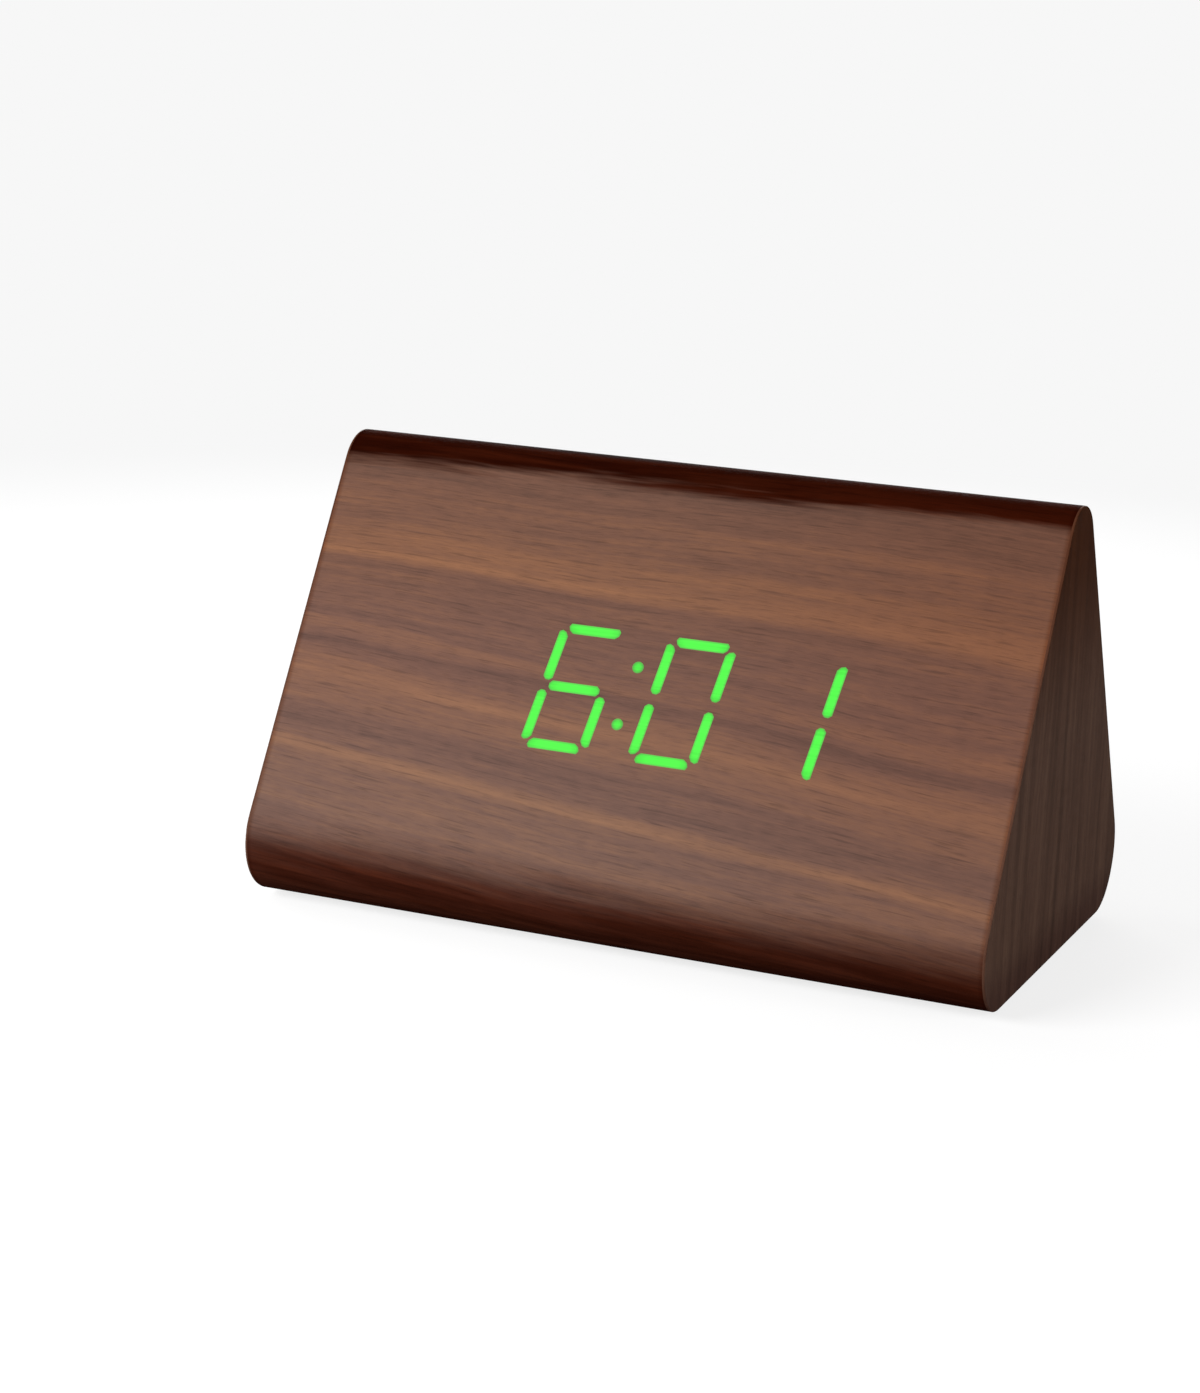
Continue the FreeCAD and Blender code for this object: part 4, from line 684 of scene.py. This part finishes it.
rows = []
kinds = ((flat, size["Flat Length"]), (upright, size["Upright Length"]), (dot, size["Width"]))
turn = attribute(shape, "turn")
for number, (outline, length) in enumerate(kinds):
    wanted = {2: attribute(shape, "kind", "INT"), 3: number}
    is_kind = made(shape, "FunctionNodeCompare", wanted, data_type="INT", operation="EQUAL")
    bar = lit_bar(shape, outline, length)
    wanted = {"Selection": is_kind, "Rotation": xyz(shape, z=turn)}
    rows.append(on_points(shape, size["Geometry"], bar, **wanted))
real = made(shape, "GeometryNodeRealizeInstances", {0: join(shape, *rows)})
own_x, own_y, _ = axes(shape, attribute(shape, "bar_place", "FLOAT_VECTOR"))
end, far = maths(shape, "SIGN", own_x), attribute(shape, "far")
at_corner = maths(shape, "GREATER_THAN", times(shape, end, far), -0.5)
splay = times(shape, end, at_corner, own_y, attribute(shape, "side"))
along = scaled_plus(shape, splay, size["Splay"], times(shape, far, size["Drift"]))
way_x, way_y = maths(shape, "COSINE", turn), maths(shape, "SINE", turn)
wanted = {
    "Geometry": real, "Offset": xyz(shape, times(shape, along, way_x), times(shape, along, way_y)),
    "Selection": maths(shape, "GREATER_THAN", attribute(shape, "in_wood"), 0.5),
}
close_shape(shape, made(shape, "GeometryNodeSetPosition", wanted), lit_finish)

SHOWN = ("", "acdefg", "abcdef", "bc")
SLANT = math.radians(6.8)
LEAN = math.tan(SLANT)
FLAT, UPRIGHT, DOT = 0, 1, 2
FIGURE_PITCH = 22.2
SIDE_X, TOP_Y, MID_Y = 6.05, 11.7, 5.85
COLON_Y = 5.8
# Each bar by its letter: its place, its kind, the side that faces out of the figure (1 is its own +y),
# and which of its ends is at a corner of the figure (1 is its own +x, 0 means both).
BARS = {
    "a": (0, TOP_Y, FLAT, 1.0, 0.0), "g": (0, 0, FLAT, 0.0, 0.0), "d": (0, -TOP_Y, FLAT, -1.0, 0.0),
    "f": (-SIDE_X, MID_Y, UPRIGHT, 1.0, 1.0), "b": (SIDE_X, MID_Y, UPRIGHT, -1.0, 1.0),
    "e": (-SIDE_X, -MID_Y, UPRIGHT, 1.0, -1.0), "c": (SIDE_X, -MID_Y, UPRIGHT, -1.0, -1.0),
}
bars = []
for digit, shown in enumerate(SHOWN):
    for x, y, *rest in (BARS[letter] for letter in shown):
        bars.append(((digit - 1.5) * FIGURE_PITCH + x, y, *rest))
bars += [(0, y, DOT, 0.0, 0.0) for y in (COLON_Y, -COLON_Y)]
across, up, kinds, sides, fars = zip(*bars)
places = [(x + y * LEAN, y, 0) for x, y in zip(across, up)]
turns = [math.pi / 2 - SLANT if kind == UPRIGHT else 0.0 for kind in kinds]
points = seeds("segment_places", places, kind=kinds, turn=turns, side=sides, far=fars)
figures = grow("lit_segments", shape, SEGMENTS, points)
DISPLAY_X, DISPLAY_UP = -3.1, 53.7025
up_front = Vector((0, math.cos(SLOPE), math.sin(SLOPE)))
foot_front = Vector((DISPLAY_X, -HALF_BASE, WRAP["Foot Height"])) * MM + up_front * DISPLAY_UP * MM
front_frame = Matrix.Translation(foot_front) @ Matrix.Rotation(SLOPE, 4, "X")
figures.data.transform(front_frame)
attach(figures, "case")
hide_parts("lit_segment_diffusers")


# ---------------------------------------------------------------- display module behind the veneer
# A white moulded block with a light well for each segment, filled with milky epoxy, on a board that
# carries the LEDs, two surface-mount chips, a watch crystal, capacitors and chip resistors.
def coat(names, *look):
    """Gives CAD nodes a two-tone finish of their own."""
    dress(two_tone(*look)[0], *names)


coat(
    ["display_reflector"],
    "white_reflector", (0.72, 0.72, 0.69), (0.80, 0.80, 0.78), 1.8, 0.00001, (0.5, 0.65),
)
coat(
    ["unlit_segment_diffusers"],
    "milky_epoxy", (0.30, 0.34, 0.29), (0.40, 0.44, 0.38), 0.9, 0.00001, (0.2, 0.35),
)
coat(["segment_leds"], "led_chip", (0.60, 0.62, 0.28), (0.74, 0.76, 0.40), 0.3, 0.000004, (0.15, 0.3))
coat(
    ["board_spacers", "display_cable_header", "control_cable_header"],
    "ivory_nylon", (0.52, 0.49, 0.38), (0.62, 0.59, 0.48), 1.2, 0.00001, (0.4, 0.55),
)
coat(
    ["controller_chip", "driver_chip"],
    "moulded_epoxy", (0.012, 0.012, 0.013), (0.024, 0.024, 0.026), 0.15, 0.00001, (0.55, 0.75),
)
coat(
    ["filter_capacitors"],
    "capacitor_sleeve", (0.008, 0.012, 0.05), (0.014, 0.020, 0.075), 1.5, 0.00001, (0.2, 0.35),
)
coat(["chip_resistors"], "thick_film", (0.010, 0.010, 0.012), (0.024, 0.024, 0.028), 0.2, 0.00001, (0.3, 0.5))
UP_TILT = {"front": SLOPE, "rear": math.pi - SLOPE}


def board_finish(slope):
    """Green solder mask over copper tracks that run in both directions, with tinned via holes."""
    material, tree, shader = new_finish("circuit_board_" + slope, Roughness=0.3)
    wanted = {"Vector": object_place(tree), "Rotation": (-UP_TILT[slope], 0, 0), "Scale": (1, 1, 1)}
    x, y, _ = axes(tree, in_mm(tree, made(tree, "ShaderNodeMapping", wanted)))
    place = xyz(tree, x, y)
    wanted = {
        "Vector": place, "Scale": 1.0, "Mortar Size": 0.16, "Mortar Smooth": 0.2,
        "Brick Width": 7.3, "Row Height": 1.7,
    }
    tracks = add_node(tree, "ShaderNodeTexBrick", wanted, offset=0.37, squash=0.6).outputs["Fac"]
    tracks = times(tree, tracks, between(tree, noise(tree, x, y, 0.13, 0.13, 1.0), 0.44, 0.50))
    cells = add_node(tree, "ShaderNodeTexVoronoi", {"Vector": place, "Scale": 0.24}, voronoi_dimensions="2D")
    vias = maths(tree, "LESS_THAN", cells.outputs["Distance"], 0.085)
    greens = ((0.3, (0.006, 0.055, 0.022)), (0.7, (0.009, 0.075, 0.030)))
    mask = ramp(tree, noise(tree, x, y, 0.4, 0.4), greens)
    colour = mix(tree, tracks, mask, (0.020, 0.13, 0.055, 1))
    colour = mix(tree, vias, colour, (0.55, 0.54, 0.50, 1))
    feed(tree, shader, Base_Color=colour, Metallic=vias)
    add_relief(tree, shader, maths(tree, "MAXIMUM", tracks, vias), 0.00004, 0.8)
    return material


dress(board_finish("front"), "display_board")


def plated(name, dark, light, size, stretch, roughness):
    """A plated metal with faint drawing marks and uneven gloss."""
    return two_tone(name, dark, light, size, 0.000006, roughness, stretch, Metallic=1.0)[0]


tinned = plated("tinned_metal", (0.50, 0.50, 0.48), (0.68, 0.68, 0.66), 0.25, (4, 1, 1), (0.22, 0.42))
dress(tinned, "chip_leads", "clock_crystal")

# Four zinc-plated pan-head screws with rolled threads and cross recesses hold the board.
zinc, tree, shader = two_tone(
    "zinc_plate", (0.40, 0.40, 0.41), (0.62, 0.62, 0.62), 0.5, 0.00001, (0.22, 0.42), Metallic=1.0,
)
# Painted shade: near the axis, the recess floor, its lower walls and the shank are darkened.
own_place = add_node(tree, "ShaderNodeAttribute", attribute_name="screw_place").outputs["Vector"]
own_x, own_y, own_z = axes(tree, own_place)
off_axis = maths(tree, "MAXIMUM", maths(tree, "ABSOLUTE", own_x), maths(tree, "ABSOLUTE", own_y))
painted_recess_shade = times(tree, between(tree, own_z, 0.35, 0.8, 1.0, 0.0), maths(tree, "LESS_THAN", off_axis, 1.5))
overlay(tree, shader, times(tree, painted_recess_shade, 0.75), (0.06, 0.055, 0.05, 1))

SCREW = {
    "Thread Diameter": 2.6, "Pitch": 1.0, "Head Diameter": 4.94, "Head Height": 1.09, "Length": 8.1,
    "Recess Span": 2.8, "Recess Width": 0.7, "Recess Depth": 0.75,
}
# The head's outline as (share of its radius, share of its height), from under its rim to its crown.
DOME = ((1.0, 0.0), (1.0, 0.30), (0.95, 0.56), (0.83, 0.77), (0.62, 0.92), (0.34, 0.985), (0.0, 1.0))
SHANK_STATIONS = 40
ROOT, THREAD = 0.38, 0.43
POINT_TAPER = 1.8
shape, size = new_shape_tree("pan_head_screws", SCREW)
blank, turn, station = lathe_blank(shape, 24, SHANK_STATIONS + len(DOME))
from_tip = maths(shape, "DIVIDE", station, SHANK_STATIONS - 1.0)
shank_z = times(shape, minus(shape, from_tip, 1.0), size["Length"])
winding = minus(shape, maths(shape, "DIVIDE", shank_z, size["Pitch"]), turn)
crest = maths(shape, "MAXIMUM", minus(shape, maths(shape, "PINGPONG", winding, 0.5), 0.22), 0.0)
point = maths(shape, "DIVIDE", times(shape, from_tip, size["Length"], POINT_TAPER), size["Thread Diameter"])
thread = scaled_plus(shape, crest, THREAD, ROOT)
shank_radius = times(shape, thread, size["Thread Diameter"], maths(shape, "MINIMUM", point, 1.0))
head_station = minus(shape, station, SHANK_STATIONS)
in_head = maths(shape, "GREATER_THAN", head_station, -0.5)
head_station = maths(shape, "MAXIMUM", head_station, 0.0)
dome_radii, dome_heights = zip(*DOME)
head_radius = times(shape, pick(shape, "FLOAT", head_station, dome_radii), size["Head Diameter"], 0.5)
head_z = times(shape, pick(shape, "FLOAT", head_station, dome_heights), size["Head Height"])
radius = made(shape, "ShaderNodeMix", {0: in_head, 2: shank_radius, 3: head_radius})
height = made(shape, "ShaderNodeMix", {0: in_head, 2: shank_z, 3: head_z})
recess_floor = minus(shape, size["Head Height"], size["Recess Depth"])
slots = ((size["Recess Span"], size["Recess Width"]), (size["Recess Width"], size["Recess Span"]))
blades = [slab(shape, rounded_outline(shape, *sides, 0.1, 1), recess_floor, 2.0) for sides in slots]
screw = cut_away(shape, lathe(shape, blank, turn, radius, height), *blades)
screw = keep(shape, screw, "screw_place", position(shape), "FLOAT_VECTOR")
driven = add_node(shape, "FunctionNodeRandomValue", {2: 0.0, 3: math.pi / 2, 8: 4}, data_type="FLOAT")
turned = xyz(shape, z=driven.outputs[1])
close_shape(shape, on_points(shape, size["Geometry"], screw, Rotation=turned), zinc)
screw_tree = shape


def drive_screws(name, node, places, sizes, where):
    """Screws at these places, for a CAD node. where takes them from their own frame to the clock."""
    screws = grow(name, screw_tree, sizes, seeds(name + "_places", places))
    screws.data.transform(where)
    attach(screws, "case")
    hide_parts(node)


def facing_out(depth):
    """A frame this many millimetres behind another, turned to face away from it."""
    return Matrix.Translation((0, 0, -depth * MM)) @ Matrix.Rotation(math.pi, 4, "X")


BOARD_SCREW_X, BOARD_SCREW_Y, BOARD_BACK = 51.845, 18.2, 10.15
places = [(x, y, 0) for x in (-BOARD_SCREW_X, BOARD_SCREW_X) for y in (-BOARD_SCREW_Y, BOARD_SCREW_Y)]
drive_screws("display_screws", "board_screws", places, SCREW, front_frame @ facing_out(BOARD_BACK))


# ---------------------------------------------------------------- rear panel and its screws
# One black moulding with a fine spark-eroded texture: a flush plate with the battery bay, board
# posts and openings. Four pan-head screws with cross recesses hold it to the rear wall.
def moulded(name, dark, light, texture, roughness):
    """Black plastic: a fine even texture over slow changes of tone and gloss."""
    material, tree, shader = new_finish(name, Specular_IOR_Level=0.45)
    skin, slow = object_noise(tree, texture), object_noise(tree, 9.0)
    tone = scaled_plus(tree, skin, 0.6, times(tree, slow, 0.4))
    low, high = roughness
    feed(tree, shader, Base_Color=ramp(tree, tone, ((0.35, dark), (0.65, light))))
    feed(tree, shader, Roughness=scaled_plus(tree, slow, high - low, low))
    add_relief(tree, shader, skin, 0.00004, 0.5)
    return material, tree, shader


panel_look = ("black_plastic", (0.012, 0.012, 0.013), (0.024, 0.024, 0.026), 0.22, (0.42, 0.60))
dress(moulded(*panel_look)[0], "rear_panel")

PANEL_UP = 57.5025
up_rear = Vector((0, -math.cos(SLOPE), math.sin(SLOPE)))
rear_middle = Vector((0, HALF_BASE, WRAP["Foot Height"])) + up_rear * PANEL_UP
turned_back = Matrix.Rotation(math.pi, 4, "Z") @ Matrix.Rotation(SLOPE, 4, "X")
rear_frame = Matrix.Translation(rear_middle * MM) @ turned_back
PANEL_SCREW = {**SCREW, "Head Diameter": 5.0, "Length": 4.8}
SEAT_X, SEAT_Y, SEAT_DEPTH = 59, 24, 1.2
places = [(x, y, -SEAT_DEPTH) for x in (-SEAT_X, SEAT_X) for y in (-SEAT_Y, SEAT_Y)]
drive_screws("rear_screws", "panel_screws", places, PANEL_SCREW, rear_frame)


# ---------------------------------------------------------------- battery door
# A flush cover that turns on two hooks at its lower edge. A spring tongue with grip ridges latches
# it. It comes from its own mould, so its texture is a touch finer and its black slightly softer.
door_look = ("door_plastic", (0.014, 0.014, 0.015), (0.028, 0.028, 0.030), 0.16, (0.38, 0.55))
dress(moulded(*door_look)[0], "battery_door")


# ---------------------------------------------------------------- buttons, switches and control board
# Three satin caps with an engraved ring, plus and minus filled with white paint. Each presses a
# tactile switch on the control board, which is screwed to posts behind the panel.
out_rear = Vector((0, math.sin(SLOPE), math.cos(SLOPE)))


def rear_place(tree):
    """Millimetres along x, up the rear slope from the middle of the panel, and out of its face."""
    place = in_mm(tree, object_place(tree))
    found = [axes(tree, place)[0]]
    for way in (up_rear, out_rear):
        dot = add_node(tree, "ShaderNodeVectorMath", {0: place, 1: tuple(way)}, operation="DOT_PRODUCT")
        found.append(minus(tree, dot.outputs["Value"], rear_middle.dot(way)))
    return found


CONTROLS_X = 27.75
BUTTON_UP, BUTTON_PITCH = 12.0, 14.0
MARK_RADIUS, MARK_LOW, MARK_HIGH = 2.2, 0.5, 1.1
cap_look = ("button_plastic", (0.022, 0.022, 0.024), (0.036, 0.036, 0.039), 0.3, (0.30, 0.42))
cap_finish, tree, shader = moulded(*cap_look)
x, up, level = rear_place(tree)
height = minus(tree, up, BUTTON_UP)
offset = maths(tree, "WRAP", plus(tree, x, CONTROLS_X), BUTTON_PITCH / 2, -BUTTON_PITCH / 2)
reach = maths(tree, "SQRT", scaled_plus(tree, offset, offset, times(tree, height, height)))
below, above = maths(tree, "LESS_THAN", level, MARK_HIGH), maths(tree, "GREATER_THAN", level, MARK_LOW)
painted = times(tree, below, above, maths(tree, "LESS_THAN", reach, MARK_RADIUS))
overlay(tree, shader, painted, (0.62, 0.62, 0.60, 1))
dress(cap_finish, "set_button", "up_button", "down_button")
dress(board_finish("rear"), "control_board")

POST_SCREW = {
    **SCREW, "Thread Diameter": 2.0, "Head Diameter": 3.8, "Head Height": 0.84, "Length": 5.6,
    "Recess Span": 2.1, "Recess Width": 0.55, "Recess Depth": 0.55,
}
POST_X, POST_Y, CONTROL_BACK = 20.8, 16.8, 9.6
places = [(CONTROLS_X + x, y, 0) for x in (-POST_X, POST_X) for y in (-POST_Y, POST_Y)]
drive_screws("post_screws", "control_board_screws", places, POST_SCREW, rear_frame @ facing_out(CONTROL_BACK))
switch_look = ("switch_body", (0.010, 0.010, 0.010), (0.020, 0.020, 0.020), 0.4, (0.4, 0.5))
plungers = [button + "_switch_plunger" for button in ("set", "up", "down")]
dress(moulded(*switch_look)[0], "switch_bodies", *plungers, "sounder")
socket_steel = plated("socket_steel", (0.48, 0.48, 0.47), (0.66, 0.66, 0.64), 0.3, (1, 1, 4), (0.25, 0.42))
dress(socket_steel, "power_socket_shell")
coat(
    ["power_socket_tongue"],
    "socket_insulator", (0.010, 0.010, 0.010), (0.022, 0.022, 0.022), 0.3, 0.000006, (0.4, 0.5),
)


# ---------------------------------------------------------------- cells and battery contacts
# Four small cells lie in the bay, each turned end for end from the last. Each has a nickelled can and
# a plain dark slate sleeve with a pale band near its tip, and nickelled springs and plates join them.
CELLS_X, CELL_PITCH, CELL_DEPTH = 27.0, 11.0, 7.65
cell_can = plated("cell_can", (0.52, 0.51, 0.48), (0.70, 0.69, 0.65), 0.4, (1, 5, 5), (0.18, 0.34))
dress(cell_can, "cell_cans")
wrap_film, tree, shader = new_finish("cell_sleeve", Roughness=0.28, Coat_Weight=0.3, Coat_Roughness=0.12)
x, up, _ = rear_place(tree)
row = maths(tree, "FLOOR", maths(tree, "DIVIDE", plus(tree, up, 2 * CELL_PITCH), CELL_PITCH))
way = scaled_plus(tree, maths(tree, "MODULO", row, 2.0), -2.0, 1.0)
toward_tip = times(tree, minus(tree, CELLS_X, x), way)
band = times(tree, between(tree, toward_tip, 14.4, 14.6), between(tree, toward_tip, 19.0, 19.2, 1.0, 0.0))
scuffs = object_noise(tree, 1.4, 3.0, 0.6, (4, 1, 1))
slate = ramp(tree, scuffs, ((0.3, (0.020, 0.030, 0.042)), (0.7, (0.034, 0.048, 0.064))))
pale = ramp(tree, scuffs, ((0.3, (0.42, 0.43, 0.42)), (0.7, (0.52, 0.53, 0.52))))
feed(tree, shader, Base_Color=mix(tree, band, slate, pale))
add_relief(tree, shader, scuffs, 0.000006, 0.4)
dress(wrap_film, "cell_sleeves")
nickel = plated("nickel_plate", (0.56, 0.53, 0.47), (0.72, 0.70, 0.64), 0.5, (1, 4, 4), (0.16, 0.30))
dress(nickel, "positive_contact", "negative_contact", "bridge_contacts")

COIL = {"Wire": 0.5, "Turns": 3.0, "Wide Radius": 3.2, "Narrow Radius": 1.8, "Rise": 3.45}
shape, size = new_shape_tree("coil_springs", COIL)
wanted = {
    "Resolution": 26, "Rotations": size["Turns"], "Start Radius": size["Wide Radius"],
    "End Radius": size["Narrow Radius"], "Height": 0.0,
}
spiral = made(shape, "GeometryNodeCurveSpiral", wanted)
travelled = add_node(shape, "GeometryNodeSplineParameter").outputs["Factor"]
lift = xyz(shape, z=times(shape, between(shape, travelled, 0.0, 1.0), size["Rise"]))
raised = made(shape, "GeometryNodeSetPosition", {"Geometry": spiral, "Offset": lift})
wanted = {"Resolution": 10, "Radius": times(shape, size["Wire"], 0.5)}
wire = made(shape, "GeometryNodeCurvePrimitiveCircle", wanted)
wanted = {0: raised, "Profile Curve": wire, "Fill Caps": True}
coil = weld(shape, made(shape, "GeometryNodeCurveToMesh", wanted), 1e-4)
turned = xyz(shape, y=attribute(shape, "turn"))
close_shape(shape, on_points(shape, size["Geometry"], coil, Rotation=turned), nickel)
SPRING_X = 24.4
ends = (-1, 1, -1, 1)
places = [(end * SPRING_X - CELLS_X, (row - 1.5) * CELL_PITCH, -CELL_DEPTH) for row, end in enumerate(ends)]
turns = [-end * math.pi / 2 for end in ends]
coils = grow("coil_springs", shape, COIL, seeds("coil_places", places, turn=turns))
coils.data.transform(rear_frame)
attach(coils, "case")
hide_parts("contact_springs")


# ---------------------------------------------------------------- wiring
# A grey eight-way ribbon joins the two boards, and a red and a black lead run from the bay's solder
# tabs to the control board.
RIBBON_PITCH = 1.27
ribbon, tree, shader = new_finish("ribbon_insulation", Roughness=0.5)
x = axes(tree, in_mm(tree, object_place(tree)))[0]
ribs_and_groove_shade = maths(tree, "ABSOLUTE", maths(tree, "SINE", times(tree, x, math.pi / RIBBON_PITCH)))
# Painted shade and highlight: the grey is darker in the grooves between the wires, paler on their crests.
tone = scaled_plus(tree, ribs_and_groove_shade, 0.7, times(tree, object_noise(tree, 2.0), 0.3))
greys = ((0.0, (0.16, 0.165, 0.17)), (0.8, (0.30, 0.305, 0.315)))
feed(tree, shader, Base_Color=ramp(tree, tone, greys))
add_relief(tree, shader, ribs_and_groove_shade, 0.0002, 0.7)
dress(ribbon, "ribbon_cable")
coat(
    ["battery_lead_red"],
    "red_insulation", (0.30, 0.012, 0.010), (0.40, 0.020, 0.016), 1.5, 0.00001, (0.35, 0.5),
)
coat(
    ["battery_lead_black"],
    "black_insulation", (0.010, 0.010, 0.010), (0.020, 0.020, 0.020), 1.5, 0.00001, (0.35, 0.5),
)
